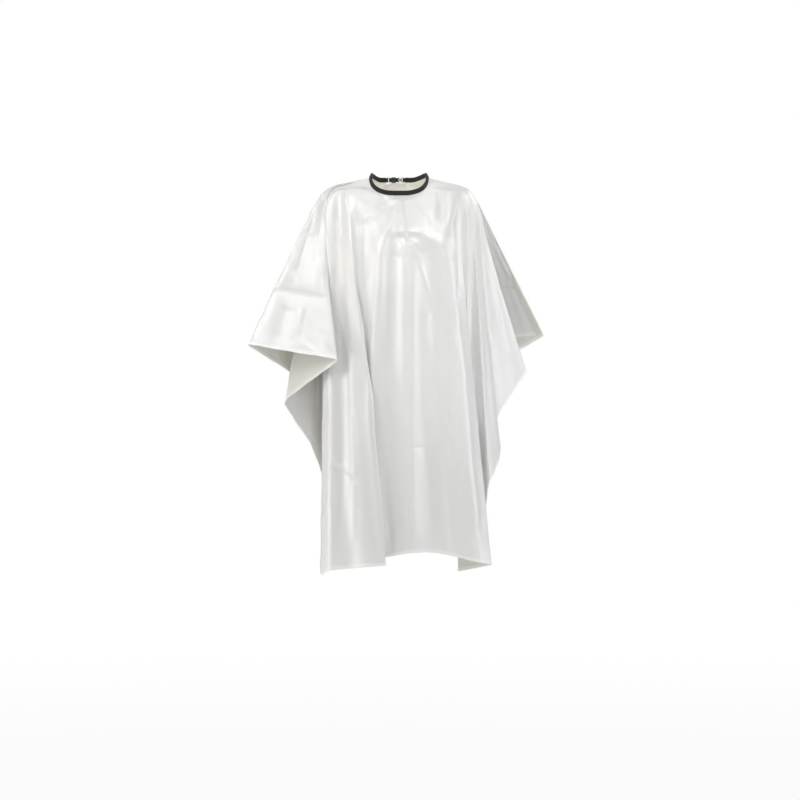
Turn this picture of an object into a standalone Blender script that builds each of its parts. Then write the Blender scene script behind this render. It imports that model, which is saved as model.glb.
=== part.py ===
"""Barber cape as worn: satin cape, folded neck binding, hook-and-eye closure at the nape.

Frame: metres, +Z up, the wearer faces -Y. Left is -X and right is +X throughout, as seen by
someone facing the wearer.
Origin: the centre-front neck point, on the inner face of the neck binding.
The neck and the fold lines are in centimetres, because that is how a cape is cut and draped.
"""
import math

import bmesh
import bpy
import numpy as np
from mathutils import Matrix, Vector

CM = 0.01

# ---------------------------------------------------------------- cloth and thread, metres
CLOTH_THICKNESS = 0.0008
HEM_DEPTH = 0.009          # stitched hem allowance
SLIT_HEM = 0.006           # the same on the two edges of the nape slit
THREAD_R = 0.00025
GAP = 0.0003               # clearance between touching pieces

# ---------------------------------------------------------------- neck, centimetres and degrees
# angles run round the neck from centre front, negative to the left
NECK_HALF_WIDTH = 7.75     # band centreline
NECK_HALF_DEPTH = 7.15
NECK_SKEW = 1.0            # the nape sits this far left, as the wearer is turned a little
NECK_SIDE_RISE = 4.75      # above the centre-front neck point
NECK_BACK_RISE = 3.4
THROAT_FLAT = 6.0          # either side of centre front, where the band runs straight
BAND_HEIGHT = 1.30
BAND_END_LEFT = -160.0
BAND_END_RIGHT = 161.0
BAND_STEPS = [BAND_END_LEFT, *(-156.0 + 4.0 * k for k in range(37)), -THROAT_FLAT,
              THROAT_FLAT, *(12.0 + 4.0 * k for k in range(37)), BAND_END_RIGHT]
EDGE_ABOVE = 0.35          # cloth's neck edge, above the band centreline
EDGE_BELOW = 0.95          # where the cloth leaves the band, below the centreline
BAND_STITCH_DROP = 0.42    # stitching line, below the centreline
BAND_STITCH_END = 149      # stitching stops at this angle on both sides

# ---------------------------------------------------------------- binding and closure, metres
BAND_THICKNESS = 0.0030
BAND_WALL = 0.0008
TAB_THICKNESS = 0.0008
WIRE_R = 0.0009
RING_SPACING = 0.0064      # between a ring's two upright wires
RING_HEIGHT = 0.0138       # between its two level wires
RING_CORNER_R = 0.0014
STRAP_HEIGHT = 0.0110
STRAP_THICKNESS = 0.0009
CLOSURE_Y = 0.1397
CLOSURE_Z = 0.0340
LEFT_BAR_X = -0.0316       # ring's upright inside the left tab
RING_BAR_X = LEFT_BAR_X + RING_SPACING
RIGHT_BAR_X = 0.0121       # eye's upright inside the right tab
EYE_BAR_X = RIGHT_BAR_X - RING_SPACING
HOOK_BAR_X = -0.0030       # the hook's own upright, inside the strap's loop
PLY_OFFSET = 0.00015 + STRAP_THICKNESS / 2      # strap's mid-plane to the centre of each ply
SLIDER_LEFT_X = -0.0206
SLIDER_RIGHT_X = -0.0086
SLIDER_MID_X = (SLIDER_LEFT_X + SLIDER_RIGHT_X) / 2
HALF_TURN_STEPS = 6        # facets of a tape round an upright wire

# ---------------------------------------------------------------- the fold lines
# Columns: name, degrees round the neck, then (x, y, z) of the shoulder or neck break, of the
# lower break and of the foot on the hem, and the corner (0.5 is a soft roll and a small value
# is a sharp fold). The order is a walk round the hem: left edge of the nape slit, left back,
# left wing, front, right wing, right back, right edge of the slit.
FOLDS = [
    ("slit_left", None, (1.5, 17.4, -3.0), (1.5, 21.0, -10.0), (1.6, 24.6, -41.5), 0.45),
    ("slit_left_in", None, (-3.3, 17.2, -2.8), (-3.2, 21.2, -10.0), (-1.8, 28.0, -41.8), 0.45),
    ("back_roll_1", -159.6, (-4.2, 17.0, -2.2), (-4.8, 20.8, -10.0), (-5.0, 30.0, -42.2), 0.42),
    ("back_dip_1", -151.0, (-6.4, 16.4, -1.2), (-7.6, 20.2, -10.0), (-8.7, 23.0, -43.2), 0.42),
    ("back_roll_2", -139.0, (-9.6, 15.2, 0.0), (-11.0, 19.6, -11.0), (-13.0, 31.0, -45.5), 0.42),
    ("back_dip_2", -126.0, (-13.2, 13.2, 0.9), (-14.2, 17.4, -10.0), (-15.5, 23.6, -47.8), 0.42),
    ("back_roll_3", -113.0, (-16.4, 11.2, 1.1), (-18.2, 15.2, -12.0), (-22.5, 28.2, -50.0), 0.40),
    ("back_dip_3", -104.0, (-18.6, 9.4, 1.3), (-21.4, 11.4, -14.0), (-26.4, 16.0, -50.8), 0.40),
    ("wing_left_back", -98.0, (-19.7, 7.9, 1.5), (-23.4, 7.2, -14.0), (-29.9, 5.2, -48.2), 0.40),
    ("wing_left_tip", -94.0, (-20.5, 6.6, 1.5), (-27.9, 2.4, -12.2), (-41.0, -7.4, -40.6), 0.07),
    ("wing_left_front", -90.0, (-20.6, 5.6, 1.4), (-19.6, 0.4, -13.4), (-15.9, -10.2, -44.6), 0.07),
    ("wing_left_under", -87.0, (-20.6, 5.0, 1.3), (-24.0, 4.2, -15.6), (-31.4, 2.0, -56.4), 0.10),
    ("pleat_left_out", -84.0, (-20.6, 4.4, 1.2), (-21.2, 7.0, -19.0), (-22.4, 13.2, -71.6), 0.30),
    ("pleat_left_in", -81.0, (-20.5, 3.8, 1.0), (-20.2, 10.4, -24.0), (-18.9, 27.0, -83.7), 0.10),
    ("front_left_edge", -78.0, (-20.3, 3.0, 0.7), (-20.3, 0.6, -25.0), (-21.7, -6.0, -103.2), 0.22),
    ("front_left_face", -73.0, (-19.2, 1.6, 0.4), (-18.4, -3.0, -25.0), (-18.9, -9.4, -101.4), 0.22),
    ("strip_dip", -68.0, (-17.0, 1.3, 1.2), (-15.2, -2.6, -24.0), (-13.4, -9.2, -100.9), 0.45),
    ("strip_roll", -62.0, (-14.8, 0.6, 1.6), (-12.9, -6.0, -23.0), (-8.4, -12.0, -100.3), 0.40),
    ("knife_fold", -57.0, (-13.0, -0.1, 0.9), (-10.7, -6.7, -22.0), (-3.3, -12.3, -99.9), 0.05),
    ("knife_fold_in", -53.0, (-12.3, 0.3, 0.5), (-13.0, -3.8, -22.0), (-10.6, -7.9, -98.8), 0.18),
    ("chest_roll_left", -34.0, (-5.6, -3.9, -6.5), (-5.2, -8.2, -17.5), (-6.4, -8.9, -98.4), 0.40),
    ("chest_dip_left", -12.0, (-1.5, -3.6, -7.0), (-1.8, -7.6, -17.5), (-1.2, -9.6, -97.4), 0.45),
    ("centre_crease", 8.0, (1.2, -4.1, -7.0), (1.3, -8.5, -16.5), (2.8, -11.2, -96.6), 0.42),
    ("chest_dip_right", 24.0, (4.6, -3.6, -6.8), (6.6, -7.4, -17.5), (9.8, -9.2, -96.4), 0.48),
    ("chest_roll_right", 46.0, (10.2, -1.9, -4.6), (13.7, -6.6, -17.0), (20.9, -12.0, -99.0), 0.40),
    ("tube_edge", 64.0, (16.2, 2.2, 0.2), (17.6, -1.4, -20.0), (25.6, -8.2, -99.9), 0.16),
    ("tube_under", 70.0, (18.4, 4.6, 0.5), (17.4, 3.4, -22.0), (15.2, -1.2, -102.4), 0.12),
    ("pleat_right_in", 75.0, (19.4, 6.6, 0.6), (19.8, 8.8, -22.0), (22.2, 16.6, -95.6), 0.12),
    ("pleat_right_front", 79.0, (20.1, 7.9, 0.7), (20.6, 6.4, -19.0), (23.8, 1.0, -79.6), 0.25),
    ("wing_right_low", 83.0, (20.5, 9.0, 0.8), (22.4, 8.9, -18.0), (28.0, 6.6, -71.2), 0.25),
    ("wing_right_dip", 87.0, (20.6, 9.8, 0.9), (22.1, 10.6, -16.0), (26.2, 13.6, -61.8), 0.22),
    ("wing_right_front", 91.0, (20.6, 10.6, 1.0), (24.3, 12.4, -12.6), (35.0, 17.4, -48.6), 0.09),
    ("wing_right_fold", 95.0, (20.3, 11.4, 1.0), (22.2, 15.4, -12.0), (26.2, 27.4, -40.4), 0.10),
    ("wing_right_tip", 99.0, (19.9, 12.2, 1.1), (26.0, 14.4, -11.0), (39.9, 19.4, -38.9), 0.07),
    ("wing_right_back", 104.0, (18.9, 13.4, 1.1), (22.6, 18.0, -13.0), (32.4, 27.6, -43.9), 0.40),
    ("back_dip_4", 113.0, (16.8, 14.6, 0.9), (18.2, 20.4, -13.0), (23.0, 29.6, -46.0), 0.40),
    ("back_roll_5", 123.0, (13.8, 15.6, 0.6), (14.4, 21.2, -12.0), (17.6, 33.6, -45.8), 0.42),
    ("back_dip_5", 134.0, (10.4, 16.4, 0.0), (10.6, 20.6, -10.5), (12.2, 25.2, -44.6), 0.42),
    ("back_roll_6", 149.0, (7.0, 16.7, -1.0), (7.0, 20.8, -10.0), (8.0, 31.2, -43.0), 0.42),
    ("slit_right_in", 160.6, (3.8, 16.7, -2.2), (3.6, 20.4, -10.0), (4.2, 25.4, -42.2), 0.45),
    ("slit_right_turn", None, (2.2, 16.7, -2.6), (2.0, 20.3, -10.0), (2.6, 24.0, -42.0), 0.45),
    ("slit_right", None, (-0.2, 16.3, -3.0), (-0.3, 20.0, -10.0), (-0.4, 22.4, -41.5), 0.45),
]
# (x, y, z) of the neck edge where it runs under the closure, beyond the binding's two ends
NECK_EDGE = {
    "slit_left": (1.5, 14.60, 2.20),
    "slit_left_in": (-3.50, 13.86, 2.20),
    "slit_right_turn": (1.58, 13.90, 2.20),
    "slit_right": (-0.2, 13.90, 2.20),
}
NECK_EDGE_FALL = np.array([0, 0.15, -0.9])      # from there to the level of the band's foot
# (x, y, z) where the left shoulder's pleats have tucked under one another, past the shoulder
TUCKED = {
    "wing_left_tip": (-20.7, 6.4, 1.5), "wing_left_front": (-21.0, 3.7, 1.0),
    "wing_left_under": (-20.4, 4.5, 0.8), "pleat_left_out": (-20.2, 5.0, 0.5),
    "pleat_left_in": (-19.9, 5.5, 0.2), "front_left_edge": (-20.1, 3.3, 0.3),
}
SHOULDER, LOWER, FOOT = (np.array([fold[k] for fold in FOLDS], float) for k in (2, 3, 4))
UNDER = np.array([TUCKED.get(fold[0], fold[2]) for fold in FOLDS], float)
CORNERS = [fold[5] for fold in FOLDS]
LAST_FOLD = len(FOLDS) - 1

# how far the roll reaches before and after each corner, in steps between corners
SOFT = [(0.5, 0.5)] * len(FOLDS)
HALF_SOFT = [((corner * 3 + 0.5) / 4,) * 2 for corner in CORNERS]
SHARP = [(corner,) * 2 for corner in CORNERS]
DOWN_ROLLS = [(0, 0), (0.06, 0.30), (0.30, 0.42), (0.50, 0.40), (0, 0)]

# rows of the sheet: 0 neck edge, 1 foot of the band, 2 and 3 the breaks, 4 hem
DOWN = [0.0, 0.55, 0.94, 1.25, 1.7, 1.9, 2.1, 2.42, 2.75, 3.1, 3.4, 3.7, 4.0]
TUCK_START, TUCK_END = 1.7, 2.15


# ---------------------------------------------------------------- neck shape
def smooth(start, end, x):
    """Smooth step from 0 at start to 1 at end."""
    t = min(max((x - start) / (end - start), 0.0), 1.0)
    return t * t * (3 - 2 * t)


def neck_point(degrees):
    """Centreline of the neck band, in centimetres."""
    angle = math.radians(degrees)
    sine, cosine = math.sin(angle), math.cos(angle)
    flat = math.cos(math.radians(THROAT_FLAT))
    x = NECK_HALF_WIDTH * sine - NECK_SKEW * max(-cosine, 0) ** 2
    y = NECK_HALF_DEPTH * (flat - min(cosine, flat))
    # half the band's thickness puts the origin on its inner face
    y -= BAND_THICKNESS / CM / 2 * min(max(cosine, 0), flat) / flat
    turn = abs(degrees)
    front = NECK_SIDE_RISE * (turn / 90) ** 2.6
    back = NECK_BACK_RISE + (NECK_SIDE_RISE - NECK_BACK_RISE) * (1 - smooth(105, 150, turn))
    # the lower of the two rises, blended
    z = -math.log(math.exp(-3 * front) + math.exp(-3 * back)) / 3 * smooth(0, 35, turn)
    return np.array([x, y, z])


def neck_slope(degrees):
    """Unit direction down the band, away from the neck."""
    angle = math.radians(degrees)
    lean = 0.5 * math.sin(angle) ** 2 * (1 - smooth(95, 158, abs(degrees)))
    slope = np.array([lean * math.sin(angle), -lean * math.cos(angle), -1.0])
    return slope / np.linalg.norm(slope)


def band_frame(degrees):
    """Centre, downward direction and outward direction of the band."""
    centre = neck_point(degrees)
    if abs(degrees) <= THROAT_FLAT:
        return np.array([*centre[:2], 0.0]), np.array([0, 0, -1.0]), np.array([0, -1.0, 0])
    down = neck_slope(degrees)
    along = neck_point(degrees + 0.5) - neck_point(degrees - 0.5)
    out = np.cross(down, along)
    out = out / np.linalg.norm(out)
    if out @ (centre - np.array([0, NECK_HALF_DEPTH, centre[2]])) < 0:
        out = -out
    return centre, down, out


# ---------------------------------------------------------------- cloth shape
def rolled(points, rolls, t):
    """Point on a polyline whose corners are rolled; whole numbers of t are its corners."""
    last = len(points) - 1
    i = min(int(round(t)), last)
    before, after = rolls[i]
    if before + after > 0 and i - before <= t <= i + after and 0 < i < last:
        q = (t - (i - before)) / (before + after)
        start = points[i] + (points[i - 1] - points[i]) * before
        end = points[i] + (points[i + 1] - points[i]) * after
        return (1 - q) ** 2 * start + 2 * q * (1 - q) * points[i] + q * q * end
    k = min(int(t), last - 1)
    return points[k] + (points[k + 1] - points[k]) * (t - k)


def edge_in_band(degrees):
    """Neck edge of the cloth inside the binding, and the foot of the band below it."""
    centre, down = neck_point(degrees), neck_slope(degrees)
    return centre - EDGE_ABOVE * down, centre + EDGE_BELOW * down


def edge_at_fold(name, degrees):
    """The same two points on one fold line, in the binding or under the closure."""
    if degrees is None:
        top = np.array(NECK_EDGE[name])
        return top, top + NECK_EDGE_FALL
    return edge_in_band(degrees)


def neck_edge(across):
    """The same two points anywhere across the sheet."""
    k = min(int(across), LAST_FOLD - 1)
    w = across - k
    here, following = FOLDS[k][:2], FOLDS[k + 1][:2]
    if here[1] is not None and following[1] is not None:
        return edge_in_band(here[1] * (1 - w) + following[1] * w)
    pairs = zip(edge_at_fold(*here), edge_at_fold(*following))
    return [a * (1 - w) + b * w for a, b in pairs]


def cloth_point(across, down):
    """Point of the cape in metres: fold number across, and row position down as in DOWN."""
    tuck = smooth(TUCK_START, TUCK_END, down)
    shoulder = rolled(SHOULDER, SOFT, across) * (1 - tuck) + rolled(UNDER, SOFT, across) * tuck
    lower = rolled(LOWER, HALF_SOFT, across)
    foot = rolled(FOOT, SHARP, across)
    return rolled(np.array([*neck_edge(across), shoulder, lower, foot]), DOWN_ROLLS, down) * CM


def across_samples():
    """Columns of the sheet: three to a fold, closer together at a sharp one."""
    samples = [0.0]
    for i in range(1, LAST_FOLD):
        reach = max(CORNERS[i], 0.05)
        if reach >= 0.44:
            reach = 0.3
        samples += [i - reach, i, i + reach]
    samples.append(float(LAST_FOLD))
    kept = [samples[0]]
    for t in samples[1:]:
        if t - kept[-1] > 0.03:
            kept.append(t)
    return kept


def inset_row(edge, inner, inset):
    """Points a stitching allowance in from an edge, along the lines of the sheet."""
    run = np.linalg.norm(inner - edge, axis=-1, keepdims=True)
    return edge + (inner - edge) * np.minimum(inset / run, 0.5)


def cape_grid():
    """Rows and columns of the sheet, with a line at each stitching allowance."""
    columns = across_samples()
    grid = np.array([[cloth_point(across, down) for across in columns] for down in DOWN])
    hem = inset_row(grid[-1], grid[-2], HEM_DEPTH)[None]
    grid = np.concatenate([grid[:-1], hem, grid[-1:]])
    left = inset_row(grid[:, 0], grid[:, 1], SLIT_HEM)[:, None]
    right = inset_row(grid[:, -1], grid[:, -2], SLIT_HEM)[:, None]
    return np.concatenate([grid[:, :1], left, grid[:, 1:-1], right, grid[:, -1:]], axis=1)


# ---------------------------------------------------------------- building helpers
def clear():
    for ob in list(bpy.data.objects):
        bpy.data.objects.remove(ob, do_unlink=True)


def material(name, rgb, roughness, metallic=0.0, sheen=0.0):
    mat = bpy.data.materials.new(name)
    mat.use_nodes = True
    inputs = mat.node_tree.nodes["Principled BSDF"].inputs
    inputs["Base Color"].default_value = (*rgb, 1)
    inputs["Roughness"].default_value = roughness
    inputs["Metallic"].default_value = metallic
    inputs["Sheen Weight"].default_value = sheen
    return mat


def new_object(name, data, mat=None):
    ob = bpy.data.objects.new(name, data)
    bpy.context.scene.collection.objects.link(ob)
    if mat:
        data.materials.append(mat)
    return ob


def sweep(name, frames, mat, closed=False):
    """A closed skin through a row of equal cross-sections, capped unless it is a loop."""
    count, sides = len(frames), len(frames[0])
    verts = [tuple(point) for frame in frames for point in frame]
    faces = []
    for i in range(count if closed else count - 1):
        a, b = i * sides, ((i + 1) % count) * sides
        for j in range(sides):
            k = (j + 1) % sides
            faces.append((a + j, a + k, b + k, b + j))
    if not closed:
        faces.append(tuple(range(sides)))
        faces.append(tuple(range((count - 1) * sides, count * sides)))
    mesh = bpy.data.meshes.new(name)
    mesh.from_pydata(verts, [], faces)
    mesh.validate()
    bm = bmesh.new()
    bm.from_mesh(mesh)
    bmesh.ops.recalc_face_normals(bm, faces=bm.faces)
    bm.to_mesh(mesh)
    bm.free()
    mesh.shade_smooth()
    mesh.set_sharp_from_angle(angle=math.radians(40))
    return new_object(name, mesh, mat)


def leg_directions(points, closed):
    """Unit directions of the legs before and after each point of a path."""
    count = len(points)
    pairs = []
    for i in range(count):
        start = i if closed or i else 1
        before = (points[start] - points[start - 1]).normalized()
        after = before
        if closed or i < count - 1:
            after = (points[(i + 1) % count] - points[i]).normalized()
        pairs.append((before, after))
    return pairs


def tube(name, path, radius, mat, sides, closed=False):
    """Round bar or thread along a path, with mitred joints."""
    points = [Vector(p) for p in path]
    last = len(points) - 1
    frames = []
    for i, (before, after) in enumerate(leg_directions(points, closed)):
        behind = points[i - 1] if closed or i else points[i]
        ahead = points[(i + 1) % (last + 1)] if closed or i < last else points[i]
        tangent = (ahead - behind).normalized()
        if i == 0:
            up = Vector((0, 0, 1)) if abs(tangent.z) < 0.9 else Vector((0, 1, 0))
            side = tangent.cross(up).normalized()
        side = (side - tangent * side.dot(tangent)).normalized()
        other = tangent.cross(side)
        stretch = 1.0 / max(math.sqrt((1 + before.dot(after)) / 2), 0.5)
        bend = after - before
        bend = bend.normalized() if bend.length > 1e-6 else side
        frame = []
        for k in range(sides):
            angle = 2 * math.pi * (k + 0.5) / sides
            spoke = side * math.cos(angle) + other * math.sin(angle)
            if stretch > 1.001:
                spoke = spoke + bend * spoke.dot(bend) * (stretch - 1)
            frame.append(points[i] + spoke * radius)
        frames.append(frame)
    return sweep(name, frames, mat, closed)


def thread(name, path, mat):
    tube(name, path, THREAD_R, mat, sides=4)


def tape(name, path, thickness, height, mat, closed=False):
    """An upright tape centred on the closure's height, along a path in plan."""
    points = [Vector((p[0], p[1], 0)) for p in path]
    bottom, top = CLOSURE_Z - height / 2, CLOSURE_Z + height / 2
    frames = []
    for point, (before, after) in zip(points, leg_directions(points, closed)):
        tangent = (before + after).normalized()
        normal = Vector((-tangent.y, tangent.x, 0))
        reach = thickness / 2 / max(tangent.dot(after), 0.5)
        a, b = point + normal * reach, point - normal * reach
        frames.append([(a.x, a.y, bottom), (b.x, b.y, bottom), (b.x, b.y, top), (a.x, a.y, top)])
    return sweep(name, frames, mat, closed)


def closure_box(name, x_range, y_range, half_height, mat=None, bevel=0.0):
    """A box centred on the closure's height; y_range is measured from the closure's plane."""
    low = (x_range[0], CLOSURE_Y + y_range[0], CLOSURE_Z - half_height)
    high = (x_range[1], CLOSURE_Y + y_range[1], CLOSURE_Z + half_height)
    bm = bmesh.new()
    bmesh.ops.create_cube(bm, size=1)
    for v in bm.verts:
        v.co = Vector([(a + b) / 2 + c * (b - a) for a, b, c in zip(low, high, v.co)])
    if bevel:
        bmesh.ops.bevel(bm, geom=list(bm.edges), offset=bevel, segments=1, affect="EDGES")
    mesh = bpy.data.meshes.new(name)
    bm.to_mesh(mesh)
    bm.free()
    return new_object(name, mesh, mat)


def boolean(ob, other, operation):
    modifier = ob.modifiers.new(operation.lower() + "_" + other.name, "BOOLEAN")
    modifier.operation = operation
    modifier.object = other
    modifier.solver = "EXACT"
    other.hide_render = True
    other.display_type = "WIRE"


def pivot(name, x, parent=None):
    """An empty on a joint's axis, in the closure's plane."""
    empty = new_object(name, None)
    empty.empty_display_size = 0.01
    position = Vector((x, CLOSURE_Y, CLOSURE_Z))
    empty["at"] = tuple(position)
    empty.location = position
    if parent:
        empty.parent = parent
        empty.location = position - Vector(parent["at"])
    return empty


def hang(ob, empty):
    """Move a piece's origin onto the empty it turns or slides with."""
    ob.data.transform(Matrix.Translation(-Vector(empty["at"])))
    ob.parent = empty


# ---------------------------------------------------------------- materials
clear()
SATIN = material("white_satin", rgb=(0.86, 0.86, 0.85), roughness=0.36, sheen=0.3)
BINDING = material("black_bias_tape", rgb=(0.018, 0.018, 0.018), roughness=0.75)
WEBBING = material("black_elastic", rgb=(0.016, 0.016, 0.017), roughness=0.8)
METAL = material("pale_gold_wire", rgb=(0.72, 0.66, 0.48), roughness=0.28, metallic=1.0)
PLASTIC = material("black_acetal", rgb=(0.02, 0.02, 0.022), roughness=0.45)
WHITE_THREAD = material("white_thread", rgb=(0.84, 0.84, 0.83), roughness=0.6)
BLACK_THREAD = material("black_thread", rgb=(0.02, 0.02, 0.02), roughness=0.6)


# ---------------------------------------------------------------- cape
def cape_panel(grid):
    """One sheet of satin, thickened evenly about the grid."""
    rows, cols = grid.shape[:2]
    verts = [tuple(v) for v in grid.reshape(-1, 3)]
    faces = [(r * cols + c, r * cols + c + 1, (r + 1) * cols + c + 1, (r + 1) * cols + c)
             for r in range(rows - 1) for c in range(cols - 1)]
    mesh = bpy.data.meshes.new("cape_panel")
    mesh.from_pydata(verts, [], faces)
    mesh.shade_smooth()
    cloth = new_object("cape_panel", mesh, SATIN).modifiers.new("cloth", "SOLIDIFY")
    cloth.thickness = CLOTH_THICKNESS
    cloth.offset = 0.0
    cloth.use_even_offset = False
    cloth.use_rim = True


def outward_normals(grid):
    """Outward unit normals of the sheet's facets and of its points."""
    facets = np.cross(grid[1:, 1:] - grid[:-1, :-1], grid[1:, :-1] - grid[:-1, 1:])
    facets = facets / (np.linalg.norm(facets, axis=2, keepdims=True) + 1e-12)
    normals = np.zeros_like(grid)
    normals[1:, 1:] += facets
    normals[1:, :-1] += facets
    normals[:-1, 1:] += facets
    normals[:-1, :-1] += facets
    normals = normals / (np.linalg.norm(normals, axis=2, keepdims=True) + 1e-12)
    # the outer face looks to -Y at the front
    sign = 1.0 if normals[-1, grid.shape[1] // 2][1] < 0 else -1.0
    return facets * sign, normals * sign


def cape_threads(grid):
    """Stitching along the hem and both edges of the slit, on the outer face."""
    facets, normals = outward_normals(grid)
    rows, cols = grid.shape[:2]
    lift = CLOTH_THICKNESS / 2 + GAP + THREAD_R

    def clear_of_cloth(r, c):
        """A point lifted off every facet that meets at this corner of the sheet."""
        normal = normals[r, c]
        least = min(1.0, (facets[r - 1:r + 1, c - 1:c + 1] @ normal).min())
        return grid[r, c] + normal * lift / max(least, 0.3)

    hem = [clear_of_cloth(rows - 2, c) for c in range(2, cols - 2)]
    thread("hem_thread", hem, WHITE_THREAD)
    for side, c in (("left", 1), ("right", cols - 2)):
        points = [clear_of_cloth(r, c) for r in range(2, rows - 1)]
        up = points[-2] - points[-1]
        points[-1] = points[-1] + up / np.linalg.norm(up) * 0.004      # stop short of the hem's
        thread("slit_thread_" + side, points, WHITE_THREAD)


# ---------------------------------------------------------------- neck binding
def neck_binding():
    """Tape folded over the neck edge, open downward."""
    half = BAND_THICKNESS / 2 / CM
    wall = BAND_WALL / CM
    top = BAND_HEIGHT / 2
    # outward and upward from the band's centre
    profile = [(half, top), (half, -top), (half - wall, -top), (half - wall, top - wall),
               (-half + wall, top - wall), (-half + wall, -top), (-half, -top), (-half, top)]
    frames = []
    for degrees in BAND_STEPS:
        centre, down, out = band_frame(degrees)
        frames.append([tuple((centre + out * a - down * b) * CM) for a, b in profile])
    sweep("neck_binding", frames, BINDING)


def binding_thread():
    """Stitching along the binding's outer face, near its lower edge."""
    lift = BAND_THICKNESS / 2 / CM + (GAP + THREAD_R) / CM
    points = []
    for degrees in BAND_STEPS:
        if abs(degrees) <= BAND_STITCH_END:
            centre, down, out = band_frame(degrees)
            points.append((centre + out * lift + down * BAND_STITCH_DROP) * CM)
    thread("binding_thread", points, BLACK_THREAD)


def band_facet(end, sign):
    """In plan: end of the binding, the vector along its last flat, its outward normal."""
    corner = Vector((*neck_point(end)[:2] * CM, 0))
    flat = Vector((*neck_point(end + sign * 8)[:2] * CM, 0)) - corner
    normal = Vector((-flat.y, flat.x, 0)).normalized()
    return corner, flat, normal if normal.y > 0 else -normal


# ---------------------------------------------------------------- closure
def tab(name, bar_x, end, sign):
    """Tape round a ring's upright and back along both faces of the binding."""
    corner, flat, normal = band_facet(end, sign)
    along = flat.normalized()
    out = normal * (BAND_THICKNESS / 2 + GAP + TAB_THICKNESS / 2)
    bar = Vector((bar_x, CLOSURE_Y, 0))
    turn = []
    for k in range(HALF_TURN_STEPS + 1):
        angle = math.pi / 2 - math.pi * k / HALF_TURN_STEPS
        turn.append(bar + out * math.sin(angle) - along * (out.length * math.cos(angle)))
    path = [corner + flat + out, corner + out, *turn, corner - out, corner + flat - out]
    tape(name, path, TAB_THICKNESS, STRAP_HEIGHT, BINDING)


def bartack(name, end, sign):
    """A zigzag of thread over the outer leg of a tab."""
    corner, flat, normal = band_facet(end, sign)
    along = flat.normalized()
    lift = BAND_THICKNESS / 2 + GAP + TAB_THICKNESS + GAP + THREAD_R
    base = corner + along * 0.0055 + normal * lift + Vector((0, 0, CLOSURE_Z))
    points = []
    for k in range(11):
        rise = Vector((0, 0, -0.0040 + 0.0008 * k))
        points.append(base + rise + along * (0.0010 if k % 2 else -0.0010))
    thread(name, points, BLACK_THREAD)


def wire_ring(name, left, right):
    """Upright rectangle of wire with rounded corners, between two uprights."""
    r = RING_CORNER_R
    low, high = CLOSURE_Z - RING_HEIGHT / 2 + r, CLOSURE_Z + RING_HEIGHT / 2 - r
    corners = ((right - r, high, 0), (left + r, high, 90),
               (left + r, low, 180), (right - r, low, 270))
    points = []
    for x, z, start in corners:
        for k in range(4):
            angle = math.radians(start + 30 * k)
            points.append((x + r * math.cos(angle), CLOSURE_Y, z + r * math.sin(angle)))
    return tube(name, points, WIRE_R, METAL, sides=8, closed=True)


def elastic_strap():
    """A loop of webbing round the ring's upright and the hook's upright."""
    turn_r = 0.0012 + STRAP_THICKNESS / 2
    neck_x, neck_y = 0.0018, turn_r * 0.72      # where the ply leaves the turn, from the upright
    pinch_x = 0.0034                            # where the two plies have come together
    path = []
    for bar, other, sign in ((RING_BAR_X, HOOK_BAR_X, 1), (HOOK_BAR_X, RING_BAR_X, -1)):
        for k in range(HALF_TURN_STEPS + 1):
            angle = sign * math.pi / 2 + math.pi * k / HALF_TURN_STEPS
            path.append((bar + turn_r * math.cos(angle), CLOSURE_Y + turn_r * math.sin(angle)))
        path += [(bar + sign * neck_x, CLOSURE_Y - sign * neck_y),
                 (bar + sign * pinch_x, CLOSURE_Y - sign * PLY_OFFSET),
                 (other - sign * pinch_x, CLOSURE_Y - sign * PLY_OFFSET),
                 (other - sign * neck_x, CLOSURE_Y - sign * neck_y)]
    return tape("elastic_strap", path, STRAP_THICKNESS, STRAP_HEIGHT, WEBBING, closed=True)


def slider_keeper():
    """A moulded keeper with two windows and a middle bar on its outer (+Y) face."""
    inner = PLY_OFFSET + STRAP_THICKNESS / 2 + GAP
    outer = inner + 0.0011
    half = STRAP_HEIGHT / 2
    margin, half_bar = 0.0018, 0.0009
    slider = closure_box("slider", (SLIDER_LEFT_X, SLIDER_RIGHT_X), (-outer, outer),
                         half + 0.0022, PLASTIC, bevel=0.0005)
    channel = closure_box("slider_channel", (SLIDER_LEFT_X - 0.01, SLIDER_RIGHT_X + 0.01),
                          (-inner, inner), half + 0.0005)
    boolean(slider, channel, "DIFFERENCE")
    for tag, x_range in (("a", (SLIDER_LEFT_X + margin, SLIDER_MID_X - half_bar)),
                         ("b", (SLIDER_MID_X + half_bar, SLIDER_RIGHT_X - margin))):
        window = closure_box("slider_window_" + tag, x_range,
                             (inner - 0.0003, outer + 0.002), half - 0.0008)
        boolean(slider, window, "DIFFERENCE")
    return slider


def strap_hook():
    """A stamped frame that carries the strap, and a lip over and past the eye's upright."""
    half_plate = 0.0005
    hook = closure_box("strap_hook", (HOOK_BAR_X - 0.0006, HOOK_BAR_X + 0.0040),
                       (-half_plate, half_plate), 0.0073, METAL)
    window = closure_box("hook_window", (HOOK_BAR_X + 0.0007, HOOK_BAR_X + 0.0028),
                         (-0.004, 0.004), STRAP_HEIGHT / 2 + 0.0005)
    boolean(hook, window, "DIFFERENCE")
    thickness = 0.0010
    tip_x = EYE_BAR_X + WIRE_R + 0.0010
    over = CLOSURE_Y + WIRE_R + 0.0005 + thickness / 2
    path = [(HOOK_BAR_X + 0.0031, CLOSURE_Y), (HOOK_BAR_X + 0.0044, CLOSURE_Y),
            (EYE_BAR_X - 0.0019, over), (tip_x - 0.0006, over),
            (tip_x, over - 0.0006), (tip_x, CLOSURE_Y - 0.0013)]
    boolean(hook, tape("hook_lip", path, thickness, 0.0080, METAL), "UNION")
    return hook


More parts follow.
